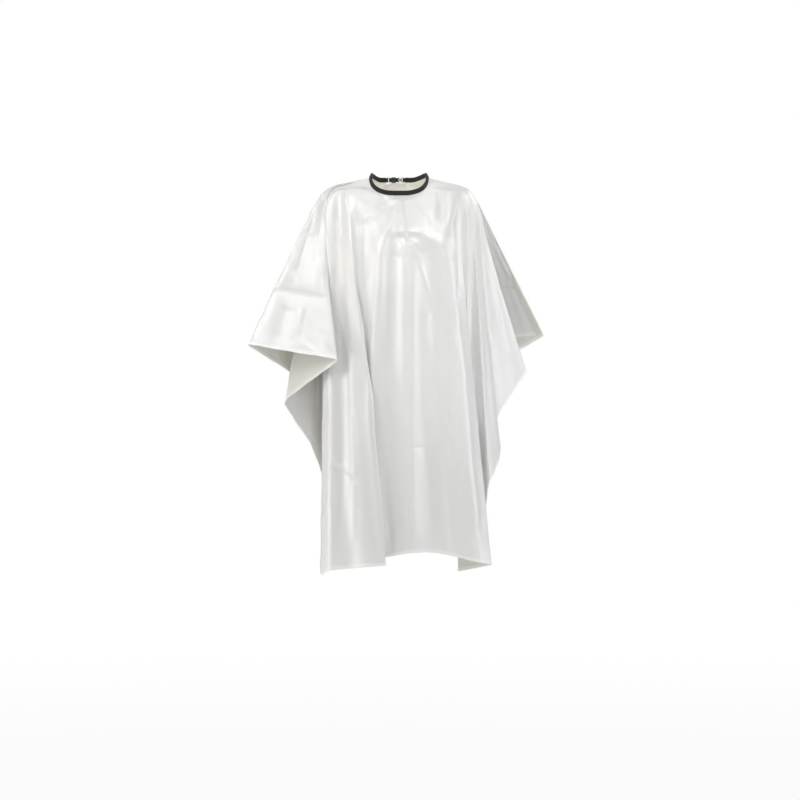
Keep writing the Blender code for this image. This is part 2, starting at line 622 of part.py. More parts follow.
def closure():
    """Rings, strap, slider and hook, each hung on the axis it turns about or slides with."""
    ring = wire_ring("adjuster_ring", LEFT_BAR_X, RING_BAR_X)
    eye = wire_ring("eye_ring", EYE_BAR_X, RIGHT_BAR_X)
    strap = elastic_strap()
    slider = slider_keeper()
    hook = strap_hook()
    ring_axis = pivot("ring_axis", LEFT_BAR_X)
    strap_axis = pivot("strap_axis", RING_BAR_X, ring_axis)
    slider_axis = pivot("slider_axis", SLIDER_MID_X, strap_axis)
    eye_axis = pivot("eye_axis", RIGHT_BAR_X)
    hang(ring, ring_axis)
    hang(strap, strap_axis)
    hang(hook, strap_axis)
    hang(slider, slider_axis)
    hang(eye, eye_axis)


# ---------------------------------------------------------------- build
sheet = cape_grid()
cape_panel(sheet)
cape_threads(sheet)
neck_binding()
tab("tab_left", LEFT_BAR_X, BAND_END_LEFT, 1)
tab("tab_right", RIGHT_BAR_X, BAND_END_RIGHT, -1)
closure()
binding_thread()
bartack("bartack_left", BAND_END_LEFT, 1)
bartack("bartack_right", BAND_END_RIGHT, -1)
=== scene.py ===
"""Barber cape of white satin with a black neck binding, hanging as if worn.

Metres, +Z up, the wearer faces -Y. Left is -X and right is +X, as seen from the front.
The cloth is worked out in centimetres from the centre-front neck point, then turned to metres.
"""
import math
from collections import namedtuple

import bmesh
import bpy
import numpy as np
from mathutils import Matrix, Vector


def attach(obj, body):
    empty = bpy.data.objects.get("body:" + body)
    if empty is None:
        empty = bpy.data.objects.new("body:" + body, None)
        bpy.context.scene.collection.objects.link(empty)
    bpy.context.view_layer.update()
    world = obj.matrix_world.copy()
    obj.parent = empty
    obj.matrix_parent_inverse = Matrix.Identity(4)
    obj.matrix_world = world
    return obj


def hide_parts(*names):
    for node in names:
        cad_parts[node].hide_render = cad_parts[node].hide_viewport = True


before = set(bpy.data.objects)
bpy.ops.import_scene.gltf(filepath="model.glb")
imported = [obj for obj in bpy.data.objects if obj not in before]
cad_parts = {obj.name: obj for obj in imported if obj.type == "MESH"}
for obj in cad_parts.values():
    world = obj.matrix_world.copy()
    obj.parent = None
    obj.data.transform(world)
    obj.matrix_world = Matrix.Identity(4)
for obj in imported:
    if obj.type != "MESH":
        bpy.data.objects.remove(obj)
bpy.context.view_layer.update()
CM_TO_M = 0.01

# neck band, cm and degrees round the neck from centre front
NECK_HALF_WIDTH = 7.75     # to the band's centreline
NECK_HALF_DEPTH = 7.15
NECK_SKEW = 1.0            # the nape sits this far to the left, as the wearer is turned a little
NECK_SIDE_RISE = 4.75      # above the centre-front neck point
NECK_BACK_RISE = 3.4
THROAT_FLAT = 6.0          # degrees either side of centre front where the band runs straight
BAND_HALF = 0.15           # half its thickness
BAND_ENDS = (-160.0, 161.0)
CLOTH_ABOVE, CLOTH_BELOW = 0.35, 0.95   # cloth edge and foot of the band, from the centreline

# cloth
SHEET = 0.0005             # m, visible thickness
HEM_EXTRA = 0.0009         # m, the hem is turned up twice, so it is thicker
STEP = 0.5       # cm between rows and between columns
SEAM_ABOVE_HEM = 0.80      # cm
SEAM_FROM_SLIT = 0.5       # cm
HEM_ROWS = [1.35, 1.10, 0.98, 0.90, SEAM_ABOVE_HEM, 0.55, 0.30, 0.12, 0.0]      # cm above the hem

# ---------------------------------------------------------------- the fold lines
# Name, degrees round the neck, shoulder or neck break, lower break, foot on the hem, corner
# (0.5 is a soft roll and a small value is a sharp fold), all in the order of a walk round the
# hem: left panel's edge of the nape slit, left back, left wing, front, right wing, right back,
# slit. The left panel laps over the right one.
Fold = namedtuple("Fold", "name angle upper lower foot corner")
FOLDS = [Fold(*row) for row in [
    ("slit_left", None, (1.5, 17.4, -3.0), (1.5, 21.0, -10.0), (1.6, 24.6, -41.5), 0.45),
    ("slit_left_in", None, (-3.3, 17.2, -2.8), (-3.2, 21.2, -10.0), (-1.8, 28.0, -41.8), 0.45),
    ("back_roll_1", -159.6, (-4.2, 17.0, -2.2), (-4.8, 20.8, -10.0), (-5.0, 30.0, -42.2), 0.42),
    ("back_dip_1", -151.0, (-6.4, 16.4, -1.2), (-7.6, 20.2, -10.0), (-8.7, 23.0, -43.2), 0.42),
    ("back_roll_2", -139.0, (-9.6, 15.2, 0.0), (-11.0, 19.6, -11.0), (-13.0, 31.0, -45.5), 0.42),
    ("back_dip_2", -126.0, (-13.2, 13.2, 0.9), (-14.2, 17.4, -10.0), (-15.5, 23.6, -47.8), 0.42),
    ("back_roll_3", -113.0, (-16.4, 11.2, 1.1), (-18.2, 15.2, -12.0), (-22.5, 28.2, -50.0), 0.40),
    ("back_dip_3", -104.0, (-18.6, 9.4, 1.3), (-21.4, 11.4, -14.0), (-26.4, 16.0, -50.8), 0.40),
    ("wing_left_back", -98.0, (-19.7, 7.9, 1.5), (-23.4, 7.2, -14.0), (-29.9, 5.2, -48.2), 0.40),
    ("wing_left_tip", -94.0, (-20.5, 6.6, 1.5), (-27.9, 2.4, -12.2), (-41.0, -7.4, -40.6), 0.07),
    ("wing_left_front", -90.0, (-20.6, 5.6, 1.4), (-19.6, 0.4, -13.4), (-15.9, -10.2, -44.6), 0.07),
    ("wing_left_under", -87.0, (-20.6, 5.0, 1.3), (-24.0, 4.2, -15.6), (-31.4, 2.0, -56.4), 0.10),
    ("pleat_left_out", -84.0, (-20.6, 4.4, 1.2), (-21.2, 7.0, -19.0), (-22.4, 13.2, -71.6), 0.30),
    ("pleat_left_in", -81.0, (-20.5, 3.8, 1.0), (-20.2, 10.4, -24.0), (-18.9, 27.0, -83.7), 0.10),
    ("front_left_edge", -78.0, (-20.3, 3.0, 0.7), (-20.3, 0.6, -25.0), (-21.7, -6.0, -103.2), 0.22),
    ("front_left_face", -73.0, (-19.2, 1.6, 0.4), (-18.4, -3.0, -25.0), (-18.9, -9.4, -101.4), 0.22),
    ("strip_dip", -68.0, (-17.0, 1.3, 1.2), (-15.2, -2.6, -24.0), (-13.4, -9.2, -100.9), 0.45),
    ("strip_roll", -62.0, (-14.8, 0.6, 1.6), (-12.9, -6.0, -23.0), (-8.4, -12.0, -100.3), 0.40),
    ("knife_fold", -57.0, (-13.0, -0.1, 0.9), (-10.7, -6.7, -22.0), (-3.3, -12.3, -99.9), 0.05),
    ("knife_fold_in", -53.0, (-12.3, 0.3, 0.5), (-13.0, -3.8, -22.0), (-10.6, -7.9, -98.8), 0.18),
    ("chest_roll_left", -34.0, (-5.6, -3.9, -6.5), (-5.2, -8.2, -17.5), (-6.4, -8.9, -98.4), 0.40),
    ("chest_dip_left", -12.0, (-1.5, -3.6, -7.0), (-1.8, -7.6, -17.5), (-1.2, -9.6, -97.4), 0.45),
    ("centre_crease", 8.0, (1.2, -4.1, -7.0), (1.3, -8.5, -16.5), (2.8, -11.2, -96.6), 0.42),
    ("chest_dip_right", 24.0, (4.6, -3.6, -6.8), (6.6, -7.4, -17.5), (9.8, -9.2, -96.4), 0.48),
    ("chest_roll_right", 46.0, (10.2, -1.9, -4.6), (13.7, -6.6, -17.0), (20.9, -12.0, -99.0), 0.40),
    ("tube_edge", 64.0, (16.2, 2.2, 0.2), (17.6, -1.4, -20.0), (25.6, -8.2, -99.9), 0.16),
    ("tube_under", 70.0, (18.4, 4.6, 0.5), (17.4, 3.4, -22.0), (15.2, -1.2, -102.4), 0.12),
    ("pleat_right_in", 75.0, (19.4, 6.6, 0.6), (19.8, 8.8, -22.0), (22.2, 16.6, -95.6), 0.12),
    ("pleat_right_front", 79.0, (20.1, 7.9, 0.7), (20.6, 6.4, -19.0), (23.8, 1.0, -79.6), 0.25),
    ("wing_right_low", 83.0, (20.5, 9.0, 0.8), (22.4, 8.9, -18.0), (28.0, 6.6, -71.2), 0.25),
    ("wing_right_dip", 87.0, (20.6, 9.8, 0.9), (22.1, 10.6, -16.0), (26.2, 13.6, -61.8), 0.22),
    ("wing_right_front", 91.0, (20.6, 10.6, 1.0), (24.3, 12.4, -12.6), (35.0, 17.4, -48.6), 0.09),
    ("wing_right_fold", 95.0, (20.3, 11.4, 1.0), (22.2, 15.4, -12.0), (26.2, 27.4, -40.4), 0.10),
    ("wing_right_tip", 99.0, (19.9, 12.2, 1.1), (26.0, 14.4, -11.0), (39.9, 19.4, -38.9), 0.07),
    ("wing_right_back", 104.0, (18.9, 13.4, 1.1), (22.6, 18.0, -13.0), (32.4, 27.6, -43.9), 0.40),
    ("back_dip_4", 113.0, (16.8, 14.6, 0.9), (18.2, 20.4, -13.0), (23.0, 29.6, -46.0), 0.40),
    ("back_roll_5", 123.0, (13.8, 15.6, 0.6), (14.4, 21.2, -12.0), (17.6, 33.6, -45.8), 0.42),
    ("back_dip_5", 134.0, (10.4, 16.4, 0.0), (10.6, 20.6, -10.5), (12.2, 25.2, -44.6), 0.42),
    ("back_roll_6", 149.0, (7.0, 16.7, -1.0), (7.0, 20.8, -10.0), (8.0, 31.2, -43.0), 0.42),
    ("slit_right_in", 160.6, (3.8, 16.7, -2.2), (3.6, 20.4, -10.0), (4.2, 25.4, -42.2), 0.45),
    ("slit_right_turn", None, (2.2, 16.7, -2.6), (2.0, 20.3, -10.0), (2.6, 24.0, -42.0), 0.45),
    ("slit_right", None, (-0.2, 16.3, -3.0), (-0.3, 20.0, -10.0), (-0.4, 22.4, -41.5), 0.45),
]]
LAST = len(FOLDS) - 1
INDEX = {fold.name: i for i, fold in enumerate(FOLDS)}
# the neck edge of the cloth where it runs under the closure, outside the binding's two ends
NECK_EDGE = {
    "slit_left": (1.5, 14.60, 2.20), "slit_left_in": (-3.50, 13.86, 2.20),
    "slit_right_turn": (1.58, 13.90, 2.20), "slit_right": (-0.2, 13.90, 2.20),
}
# where the left shoulder's pleats have tucked under one another, just past the shoulder
TUCKED = {
    "wing_left_tip": (-20.7, 6.4, 1.5), "wing_left_front": (-21.0, 3.7, 1.0),
    "wing_left_under": (-20.4, 4.5, 0.8), "pleat_left_out": (-20.2, 5.0, 0.5),
    "pleat_left_in": (-19.9, 5.5, 0.2), "front_left_edge": (-20.1, 3.3, 0.3),
}


# ---------------------------------------------------------------- neck line
def smoothstep(low, high, value):
    part = np.clip((value - low) / (high - low), 0, 1)
    return part * part * (3 - 2 * part)


def neck_point(angle):
    """Centreline of the neck band, in centimetres."""
    turn, away = math.radians(angle), abs(angle)
    sine, cosine = math.sin(turn), math.cos(turn)
    flat = math.cos(math.radians(THROAT_FLAT))
    x = NECK_HALF_WIDTH * sine - NECK_SKEW * max(-cosine, 0) ** 2
    y = NECK_HALF_DEPTH * (flat - min(cosine, flat)) - BAND_HALF * min(max(cosine, 0), flat) / flat
    front = NECK_SIDE_RISE * (away / 90) ** 2.6
    to_side = 1 - smoothstep(105, 150, away)
    back = NECK_BACK_RISE + (NECK_SIDE_RISE - NECK_BACK_RISE) * to_side
    blend = 3                                                 # per cm: the lower of the two, blended
    lower = -math.log(math.exp(-blend * front) + math.exp(-blend * back)) / blend
    return np.array([x, y, lower * smoothstep(0, 35, away)])


def neck_slope(angle):
    """Unit direction down the band, away from the neck."""
    turn = math.radians(angle)
    lean = 0.5 * math.sin(turn) ** 2 * (1 - smoothstep(95, 158, abs(angle)))
    slope = np.array([lean * math.sin(turn), -lean * math.cos(turn), -1.0])
    return slope / np.linalg.norm(slope)


def under_band(angle):
    """Neck edge of the cloth and the foot of the band below it."""
    centre, slope = neck_point(angle), neck_slope(angle)
    return centre - CLOTH_ABOVE * slope, centre + CLOTH_BELOW * slope


def neck_edge(across):
    """The same two points at a fold number, also between the ends of the band."""
    k = min(int(across), LAST - 1)
    part = across - k
    pair = FOLDS[k:k + 2]
    if all(fold.angle is not None for fold in pair):
        return under_band(pair[0].angle * (1 - part) + pair[1].angle * part)
    ends = []
    for fold in pair:
        if fold.angle is None:
            top = np.array(NECK_EDGE[fold.name])
            ends.append((top, top + np.array([0, 0.15, -0.9])))
        else:
            ends.append(under_band(fold.angle))
    return tuple(ends[0][j] * (1 - part) + ends[1][j] * part for j in (0, 1))


# ---------------------------------------------------------------- control points
# share of the neighbouring spans rolled before and after each control point of a column
DOWN_ROLLS = [(0, 0), (0.06, 0.30), (0.30, 0.42), (0.50, 0.40), (0, 0)]
# the same round the cape: folds are soft at the shoulder and sharpen towards the hem
SOFT = [(0.5, 0.5)] * len(FOLDS)
HALF_SOFT = [((fold.corner * 3 + 0.5) / 4,) * 2 for fold in FOLDS]
SHARP = [(fold.corner,) * 2 for fold in FOLDS]
UPPER = np.array([fold.upper for fold in FOLDS], float)
UNDER = np.array([TUCKED.get(fold.name, fold.upper) for fold in FOLDS], float)
LOWER = np.array([fold.lower for fold in FOLDS], float)
FOOT = np.array([fold.foot for fold in FOLDS], float)


def rolled(points, rolls, at):
    """Point on a polyline whose corners are rolled; whole numbers of at are its corners."""
    count = len(points)
    i = min(int(round(at)), count - 1)
    before, after = rolls[i]
    if before + after > 0 and i - before <= at <= i + after and 0 < i < count - 1:
        q = (at - (i - before)) / (before + after)
        start = points[i] + (points[i - 1] - points[i]) * before
        stop = points[i] + (points[i + 1] - points[i]) * after
        return (1 - q) ** 2 * start + 2 * q * (1 - q) * points[i] + q * q * stop
    k = min(int(at), count - 2)
    return points[k] + (points[k + 1] - points[k]) * (at - k)


def control_points(places):
    """Neck edge, band foot, upper, tucked, lower and hem points at each fold number."""
    return np.array([[*neck_edge(at), rolled(UPPER, SOFT, at), rolled(UNDER, SOFT, at),
                      rolled(LOWER, HALF_SOFT, at), rolled(FOOT, SHARP, at)] for at in places])


def row_weights(rows):
    """Weights of the five untucked control points at each row."""
    return np.array([rolled(np.eye(5), DOWN_ROLLS, row) for row in rows])


def fine_columns(step):
    """Fold numbers of the columns: close round each fold line, evenly spread between them."""
    out = []
    for k in range(LAST):
        width = max(np.linalg.norm(FOOT[k + 1] - FOOT[k]),
                    np.linalg.norm(LOWER[k + 1] - LOWER[k]), 3.0)
        first = 0.1 if k == 0 else FOLDS[k].corner
        second = 0.1 if k == LAST - 1 else FOLDS[k + 1].corner
        for a, b, fewest in ((0.0, first, 5), (first, 1 - second, 2), (1 - second, 1.0, 5)):
            n = max(fewest, int(math.ceil((b - a) * width / step)))
            out += [k + a + (b - a) * j / n for j in range(n)]
    out.append(float(LAST))
    return np.array(out)


def even_rows(step):
    """Row parameters at an even step down most columns, after the rows under the band."""
    dense = np.linspace(1.0, 3.955, 1200)
    untucked = control_points(np.linspace(0, LAST, 120))[:, [0, 1, 2, 4, 5]]
    points = np.einsum("rk,ckx->rcx", row_weights(dense), untucked)
    steps = np.percentile(np.linalg.norm(np.diff(points, axis=0), axis=2), 80, axis=1)
    run = np.concatenate([[0], np.cumsum(steps)])
    at = np.linspace(0, run[-1], int(run[-1] / step) + 1)
    return np.concatenate([[0.0, 0.3, 0.6, 0.85, 0.94], np.interp(at, run, dense)])


# ---------------------------------------------------------------- the plain sheet
def normals(points):
    across, down = np.empty_like(points), np.empty_like(points)
    across[:, 1:-1] = points[:, 2:] - points[:, :-2]
    across[:, 0], across[:, -1] = points[:, 1] - points[:, 0], points[:, -1] - points[:, -2]
    down[1:-1] = points[2:] - points[:-2]
    down[0], down[-1] = points[1] - points[0], points[-1] - points[-2]
    out = np.cross(down, across)
    return out / (np.linalg.norm(out, axis=2, keepdims=True) + 1e-12)


def run_lengths(points, axis):
    steps = np.linalg.norm(np.diff(points, axis=axis), axis=2)
    return np.concatenate([np.zeros_like(np.take(steps, [0], axis)), np.cumsum(steps, axis)], axis)


def plain_sheet():
    """Cloth over its control points, closed by the hem rows: rows, columns, xyz in cm."""
    control = control_points(column_at)
    rows = even_rows(STEP)
    weights = row_weights(rows)
    tuck = smoothstep(1.7, 2.15, rows)
    weights = np.stack([weights[:, 0], weights[:, 1], weights[:, 2] * (1 - tuck),
                        weights[:, 2] * tuck, weights[:, 3], weights[:, 4]], axis=1)
    lower, foot = control[:, 4], control[:, 5]
    drop = np.linalg.norm(foot - lower, axis=1)
    hem = np.stack([foot + (lower - foot) * (height / drop)[:, None] for height in HEM_ROWS])
    return np.concatenate([np.einsum("rk,ckx->rcx", weights, control), hem])


column_at = fine_columns(STEP)
cloth = plain_sheet()
ROWS, COLUMNS = cloth.shape[:2]
front_column = int(np.argmin(abs(column_at - INDEX["centre_crease"])))
# sign that turns the normals outwards, towards -Y at the centre front
OUT_SIGN = -1.0 if normals(cloth)[ROWS // 2, front_column, 1] > 0 else 1.0

# all in cm, on the plain sheet
down = run_lengths(cloth, 0)                                  # down each column
down_share = down / down[-1:]
from_hem = down[-1:] - down
round_row = run_lengths(cloth, 1)                             # along each row
round_hem = round_row[-1]
around = np.broadcast_to(round_hem, (ROWS, COLUMNS))
fold_at = np.broadcast_to(column_at, (ROWS, COLUMNS))


# ---------------------------------------------------------------- moving whole folds
def flattened(start, stop, amount):
    """Cloth drawn part of the way to the straight line between two fold positions."""
    first, last = np.argmin(abs(column_at - start)), np.argmin(abs(column_at - stop))
    chord = (fold_at - column_at[first]) / (column_at[last] - column_at[first])
    along = chord[..., None]
    line = cloth[:, first:first + 1] * (1 - along) + cloth[:, last:last + 1] * along
    pull = amount * smoothstep(0, 0.2, chord) * smoothstep(0, 0.2, 1 - chord)
    pull = (pull * ((chord > 0) & (chord < 1)))[..., None]
    return cloth * (1 - pull) + line * pull


def shift(at, spread, dx, dy, weight):
    """Move the cloth round one fold position a little."""
    share = np.exp(-((fold_at - at) / spread) ** 2) * weight
    cloth[..., 0] += dx * share
    cloth[..., 1] += dy * share


# the knife fold opens out towards the neck and runs a little further left there
near_neck = 1 - smoothstep(22.0, 58.0, down)
knife = INDEX["knife_fold"]
cloth = flattened(knife - 0.55, knife + 1.75, amount=near_neck * 0.72)
shift(knife + 0.3, spread=1.5, dx=-1.6, dy=0.0, weight=near_neck * smoothstep(2.0, 7.0, down))
# the left wing's front edge lies over the strip beside it, and the right side's pleat is shallow
past_shoulder = smoothstep(4.0, 9.0, down)
shift(INDEX["wing_left_front"], spread=0.45, dx=0.9, dy=-1.1,
      weight=past_shoulder * (1 - smoothstep(20.0, 44.0, down)))
shift(INDEX["front_left_edge"], spread=0.8, dx=-0.2, dy=-1.5,
      weight=past_shoulder * (1 - smoothstep(40.0, 75.0, down)))
shift(INDEX["wing_left_back"], spread=0.9, dx=-0.7, dy=0.0,
      weight=smoothstep(0.55, 0.8, down_share) * (1 - 0.9 * smoothstep(0.93, 1.0, down_share)))
cloth = flattened(INDEX["tube_under"] + 0.2, INDEX["pleat_right_front"] + 0.1,
                  amount=0.75 * smoothstep(6.0, 14.0, down) * (1 - smoothstep(70.0, 90.0, down)))
# between the ends of the neck band the cloth reaches up close under the strap
nape = (cloth[:1, :, 1] > 13.4) * (1 - smoothstep(2.45, 2.8, np.abs(cloth[:1, :, 0])))
cloth[..., 2] += 0.35 * nape * (1 - smoothstep(0.6, 2.6, down))

# ---------------------------------------------------------------- relief: folds along lines
# Tables of folds, each row: (x, z) points in cm, width in cm (a pair is left and right of the
# line's direction, seen from the front), height in mm, and the profile: "round" unless given,
# "sharp" for a crease that fades at its ends, "through" for one that doesn't.
CHEST_FOLDS = [
    # centre crease: the cape was folded down its middle, so a valley runs from neck to hem
    ([(0.5, 3.4), (1.1, -0.8), (1.6, -2.9), (2.6, -9.7), (3.1, -14.8)], 3.0, -10.0, "sharp"),
    ([(2.6, -9.0), (2.15, -17.0), (2.1, -30.0), (1.8, -67.0), (2.9, -96.5)], 0.7, -1.8, "through"),
    ([(3.7, -12.0), (3.6, -24.0), (3.7, -50.0), (3.4, -72.0), (4.6, -99.0)], 1.5, 4.6),
    ([(16.4, -17.0), (16.2, -52.0), (15.7, -99.0)], 0.7, -1.8, "sharp"),
    # level creases of the folded pack
    ([(-4.6, -16.8), (4.0, -17.2), (13.6, -17.1)], 0.6, -1.0, "sharp"),
    ([(-7.2, -68.2), (-3.0, -68.6), (6.0, -68.4), (15.0, -68.9)], 0.7, -1.6, "sharp"),
    ([(-18.6, -43.6), (-9.6, -44.4)], 0.6, -1.2, "sharp"),
    ([(0.3, -92.2), (5.7, -92.4)], 0.6, -1.6, "sharp"),
    ([(-20.0, -69.6), (-15.0, -73.6), (-10.6, -76.8)], 0.8, 3.0),
    ([(-19.6, -72.0), (-14.5, -75.8), (-10.4, -78.8)], 0.8, -2.4),
    # the arch of cloth that hangs from both sides of the chest
    ([(-6.0, -20.0), (-4.35, -13.7), (-2.8, -11.0), (-0.5, -10.0), (2.6, -9.7), (5.7, -10.4),
      (8.7, -11.9), (11.1, -14.4), (13.4, -18.6)], (2.8, 1.3), 7.5),
    ([(-3.4, -10.2), (-4.7, -15.0), (-4.9, -18.3), (-5.9, -28.9), (-7.3, -50.0), (-8.2, -64.0)],
     (1.4, 1.2), 7.0),
    ([(-2.0, -13.0), (-2.2, -20.0), (-2.0, -32.0), (-2.6, -50.0)], 2.0, -6.0),
    ([(8.0, -13.0), (9.0, -20.0), (9.4, -32.0), (9.6, -48.0)], 2.2, -6.0),
    ([(1.4, -11.0), (5.6, -15.2), (9.6, -19.6)], 0.55, -2.2),
    ([(-0.6, -10.0), (3.4, -12.8), (7.4, -16.6)], 0.55, 1.4),
    ([(4.6, -15.0), (6.8, -22.0), (9.6, -31.0)], 0.6, 1.8),
    # right side of the chest
    ([(16.8, 0.5), (15.4, -3.4), (13.8, -7.8), (12.8, -12.4), (13.0, -16.7), (14.5, -22.1),
      (14.9, -28.9), (16.0, -40.0)], (1.2, 2.2), 8.0),
    ([(14.6, -26.0), (16.5, -42.4), (17.8, -58.6), (19.7, -78.8), (21.9, -98.0)], (1.3, 1.8), 6.0),
    ([(17.2, 1.0), (16.3, -4.0), (16.1, -8.6), (16.7, -20.0), (17.6, -30.0)], 1.2, -7.0),
    ([(10.8, 2.6), (11.5, -1.6), (11.8, -7.6)], 1.4, -6.0),
    # left side of the chest
    ([(-13.4, -4.0), (-11.6, -7.0), (-9.4, -11.0), (-8.0, -16.0), (-7.8, -27.0)], 2.2, -4.2),
    ([(-14.8, 0.6), (-13.4, -6.8), (-12.9, -13.2), (-12.1, -18.3), (-11.1, -28.9), (-9.4, -44.0)],
     (1.6, 0.6), 4.5),
    # drag lines from the neck towards the left of the chest
    ([(-0.6, -2.6), (-5.2, -5.6), (-10.4, -8.6)], 0.60, -2.6),
    ([(-0.4, -3.8), (-3.7, -7.0), (-7.6, -10.2)], 0.62, 2.0),
    ([(-1.0, -5.0), (-4.4, -7.7), (-8.4, -10.4)], 0.60, -2.4),
    ([(-0.2, -2.6), (-2.4, -8.0), (-5.2, -13.4)], 0.75, 2.4),
    ([(0.4, -5.6), (-0.8, -8.8), (-2.6, -12.0)], 0.70, -2.4),
    ([(-4.0, -1.6), (-4.9, -3.5), (-6.4, -5.4)], 0.8, -1.8),
    ([(-2.0, -2.0), (-3.0, -4.2), (-4.6, -6.4)], 1.2, -3.4),
    ([(5.4, -2.0), (7.0, -6.0), (8.0, -9.6)], 0.7, 1.2),
    # folds of the left strip
    ([(-17.4, -16.2), (-14.9, -12.6), (-13.4, -10.6)], 0.8, 0.9),
    ([(-16.8, -13.8), (-14.4, -10.6)], 0.65, -1.4),
    ([(-18.4, 1.0), (-17.9, -3.0), (-17.2, -10.0), (-16.8, -22.0)], 1.1, 2.8),
    ([(-16.0, 1.0), (-15.6, -4.0), (-15.2, -13.0)], 1.1, -2.6),
    ([(-16.0, -34.0), (-15.2, -60.0), (-15.6, -90.0)], 1.1, -4.0),
    ([(-13.2, -36.0), (-12.2, -66.0), (-12.2, -97.0)], 1.0, 4.0),
    ([(-18.6, -50.0), (-18.0, -76.0), (-18.4, -100.0)], 0.9, 3.4),
    # long soft folds of the middle
    ([(-8.0, -54.0), (-7.2, -66.0), (-6.2, -78.0), (-4.0, -98.0)], 1.4, 5.6),
    ([(-4.4, -50.0), (-3.0, -74.0), (-0.8, -98.0)], 1.6, -5.6),
    ([(8.0, -30.0), (7.4, -36.0), (9.4, -46.0)], 1.5, 4.4),
    ([(12.4, -29.0), (12.2, -36.0), (13.4, -47.0)], 1.4, -4.2),
    ([(7.4, -52.0), (12.2, -62.0), (16.4, -70.0)], 0.75, 2.0),
    ([(6.6, -58.0), (8.6, -80.0), (10.4, -99.0)], 1.7, -5.6),
    ([(11.6, -62.0), (13.4, -84.0), (15.2, -100.0)], 1.3, 5.0),
]
LEFT_WING_FOLDS = [
    ([(-35.5, -25.6), (-26.0, -26.6), (-18.0, -28.4)], 0.6, -2.6, "sharp"),
    ([(-21.0, -16.0), (-19.4, -30.0), (-18.2, -44.0)], 1.0, 2.4),
    ([(-26.0, -30.0), (-27.0, -38.0)], 0.7, 1.4),
    ([(-30.0, -30.0), (-32.0, -40.0)], 1.4, -1.8),
]
LEFT_WING_FRONT_FOLDS = [
    ([(-27.0, -10.6), (-24.6, -10.9), (-22.0, -10.2)], 0.7, -1.6),
    ([(-23.4, -4.4), (-22.6, -7.0), (-23.4, -9.6)], 1.2, -2.0),
]
RIGHT_WING_FOLDS = [
    ([(26.5, -25.8), (30.0, -26.4), (34.5, -25.2)], 0.6, -2.4, "sharp"),
    ([(24.5, -12.0), (29.0, -21.0), (31.5, -25.0)], 0.6, 1.8),
    ([(20.6, -8.0), (23.6, -26.0), (25.4, -42.0)], 1.0, -3.2),
    ([(19.4, -14.0), (21.4, -34.0), (23.0, -54.0)], 1.0, 3.4),
    ([(26.0, -30.0), (28.0, -40.0), (30.5, -46.0)], 1.1, 2.6),
]
# pack creases on the back
BACK_FOLDS = [([(x, -3.0), (x * 1.12, -45.0)], 0.7, -2.0, "sharp") for x in (-16.0, 15.6)]
BACK_FOLDS.append(([(-30.0, -19.0), (0.0, -17.6), (30.0, -18.4)], 0.6, -1.8, "through"))


def line_field(x, z, points, width, profile):
    """Strength from 0 to 1 of a fold along a polyline on the cloth seen from the front."""
    out = np.zeros_like(x)
    left, right = width
    total = sum(math.dist(a, b) for a, b in zip(points, points[1:]))
    done = 0.0
    for (x0, z0), (x1, z1) in zip(points, points[1:]):
        length = math.dist((x0, z0), (x1, z1))
        dir_x, dir_z = (x1 - x0) / length, (z1 - z0) / length
        along = (x - x0) * dir_x + (z - z0) * dir_z
        side = (x - x0) * -dir_z + (z - z0) * dir_x
        over = np.maximum(np.maximum(-along, along - length), 0)
        away = np.hypot(side, over) / np.where(side > 0, left, right)
        field = np.exp(-away * away) if profile == "round" else np.exp(-away)
        if profile != "through":
            share = (done + np.clip(along, 0, length)) / total
            field = field * (smoothstep(0, 0.18, share) * (1 - smoothstep(0.82, 1, share)))
        out = np.maximum(out, field)
        done += length
    return out


def bend(points):
    """The polyline with its corners cut twice, so that folds run in curves."""
    for _ in range(2):
        new = [points[0]]
        for (x0, z0), (x1, z1) in zip(points, points[1:]):
            new += [(x0 * 0.75 + x1 * 0.25, z0 * 0.75 + z1 * 0.25),
                    (x0 * 0.25 + x1 * 0.75, z0 * 0.25 + z1 * 0.75)]
        points = new + [points[-1]]
    return points


def add_fold(mask, points, width, height, profile="round"):
    """Add one fold to the relief, worked out only near its line."""
    width = width if isinstance(width, tuple) else (width, width)
    reach = 2.6 * max(width) * (1 if profile == "round" else 2)
    xs, zs = zip(*points)
    near = ((cloth_x > min(xs) - reach) & (cloth_x < max(xs) + reach)
            & (cloth_z > min(zs) - reach) & (cloth_z < max(zs) + reach) & (mask > 0.001))
    if near.any():
        line = bend(points) if len(points) > 2 and profile == "round" else points
        field = line_field(cloth_x[near], cloth_z[near], line, width, profile)
        relief[near] += mask[near] * field * height


def from_fold(name, soft):
    """0 before a fold line and 1 after it."""
    return smoothstep(INDEX[name] - soft, INDEX[name] + soft, fold_at)


def between(first, last, soft):
    """1 between two fold lines, fading outside them."""
    return from_fold(first, soft) * (1 - from_fold(last, soft))


normal = normals(cloth) * OUT_SIGN
cloth_x, cloth_y, cloth_z = cloth[..., 0], cloth[..., 1], cloth[..., 2]
relief = np.zeros((ROWS, COLUMNS))                            # mm along the outer normal

facing = smoothstep(0.05, 0.35, -normal[..., 1])              # looks towards the front
left_wing = between("wing_left_back", "wing_left_front", 0.2)
for region, folds in (
        (between("front_left_face", "tube_edge", 0.4) * facing, CHEST_FOLDS),
        (left_wing, LEFT_WING_FOLDS),
        (left_wing * facing, LEFT_WING_FRONT_FOLDS),
        (between("pleat_right_front", "wing_right_back", 0.3), RIGHT_WING_FOLDS),
        (1 - from_fold("wing_left_back", 0.3) + from_fold("wing_right_back", 0.3), BACK_FOLDS)):
    for row in folds:
        add_fold(region, *row)

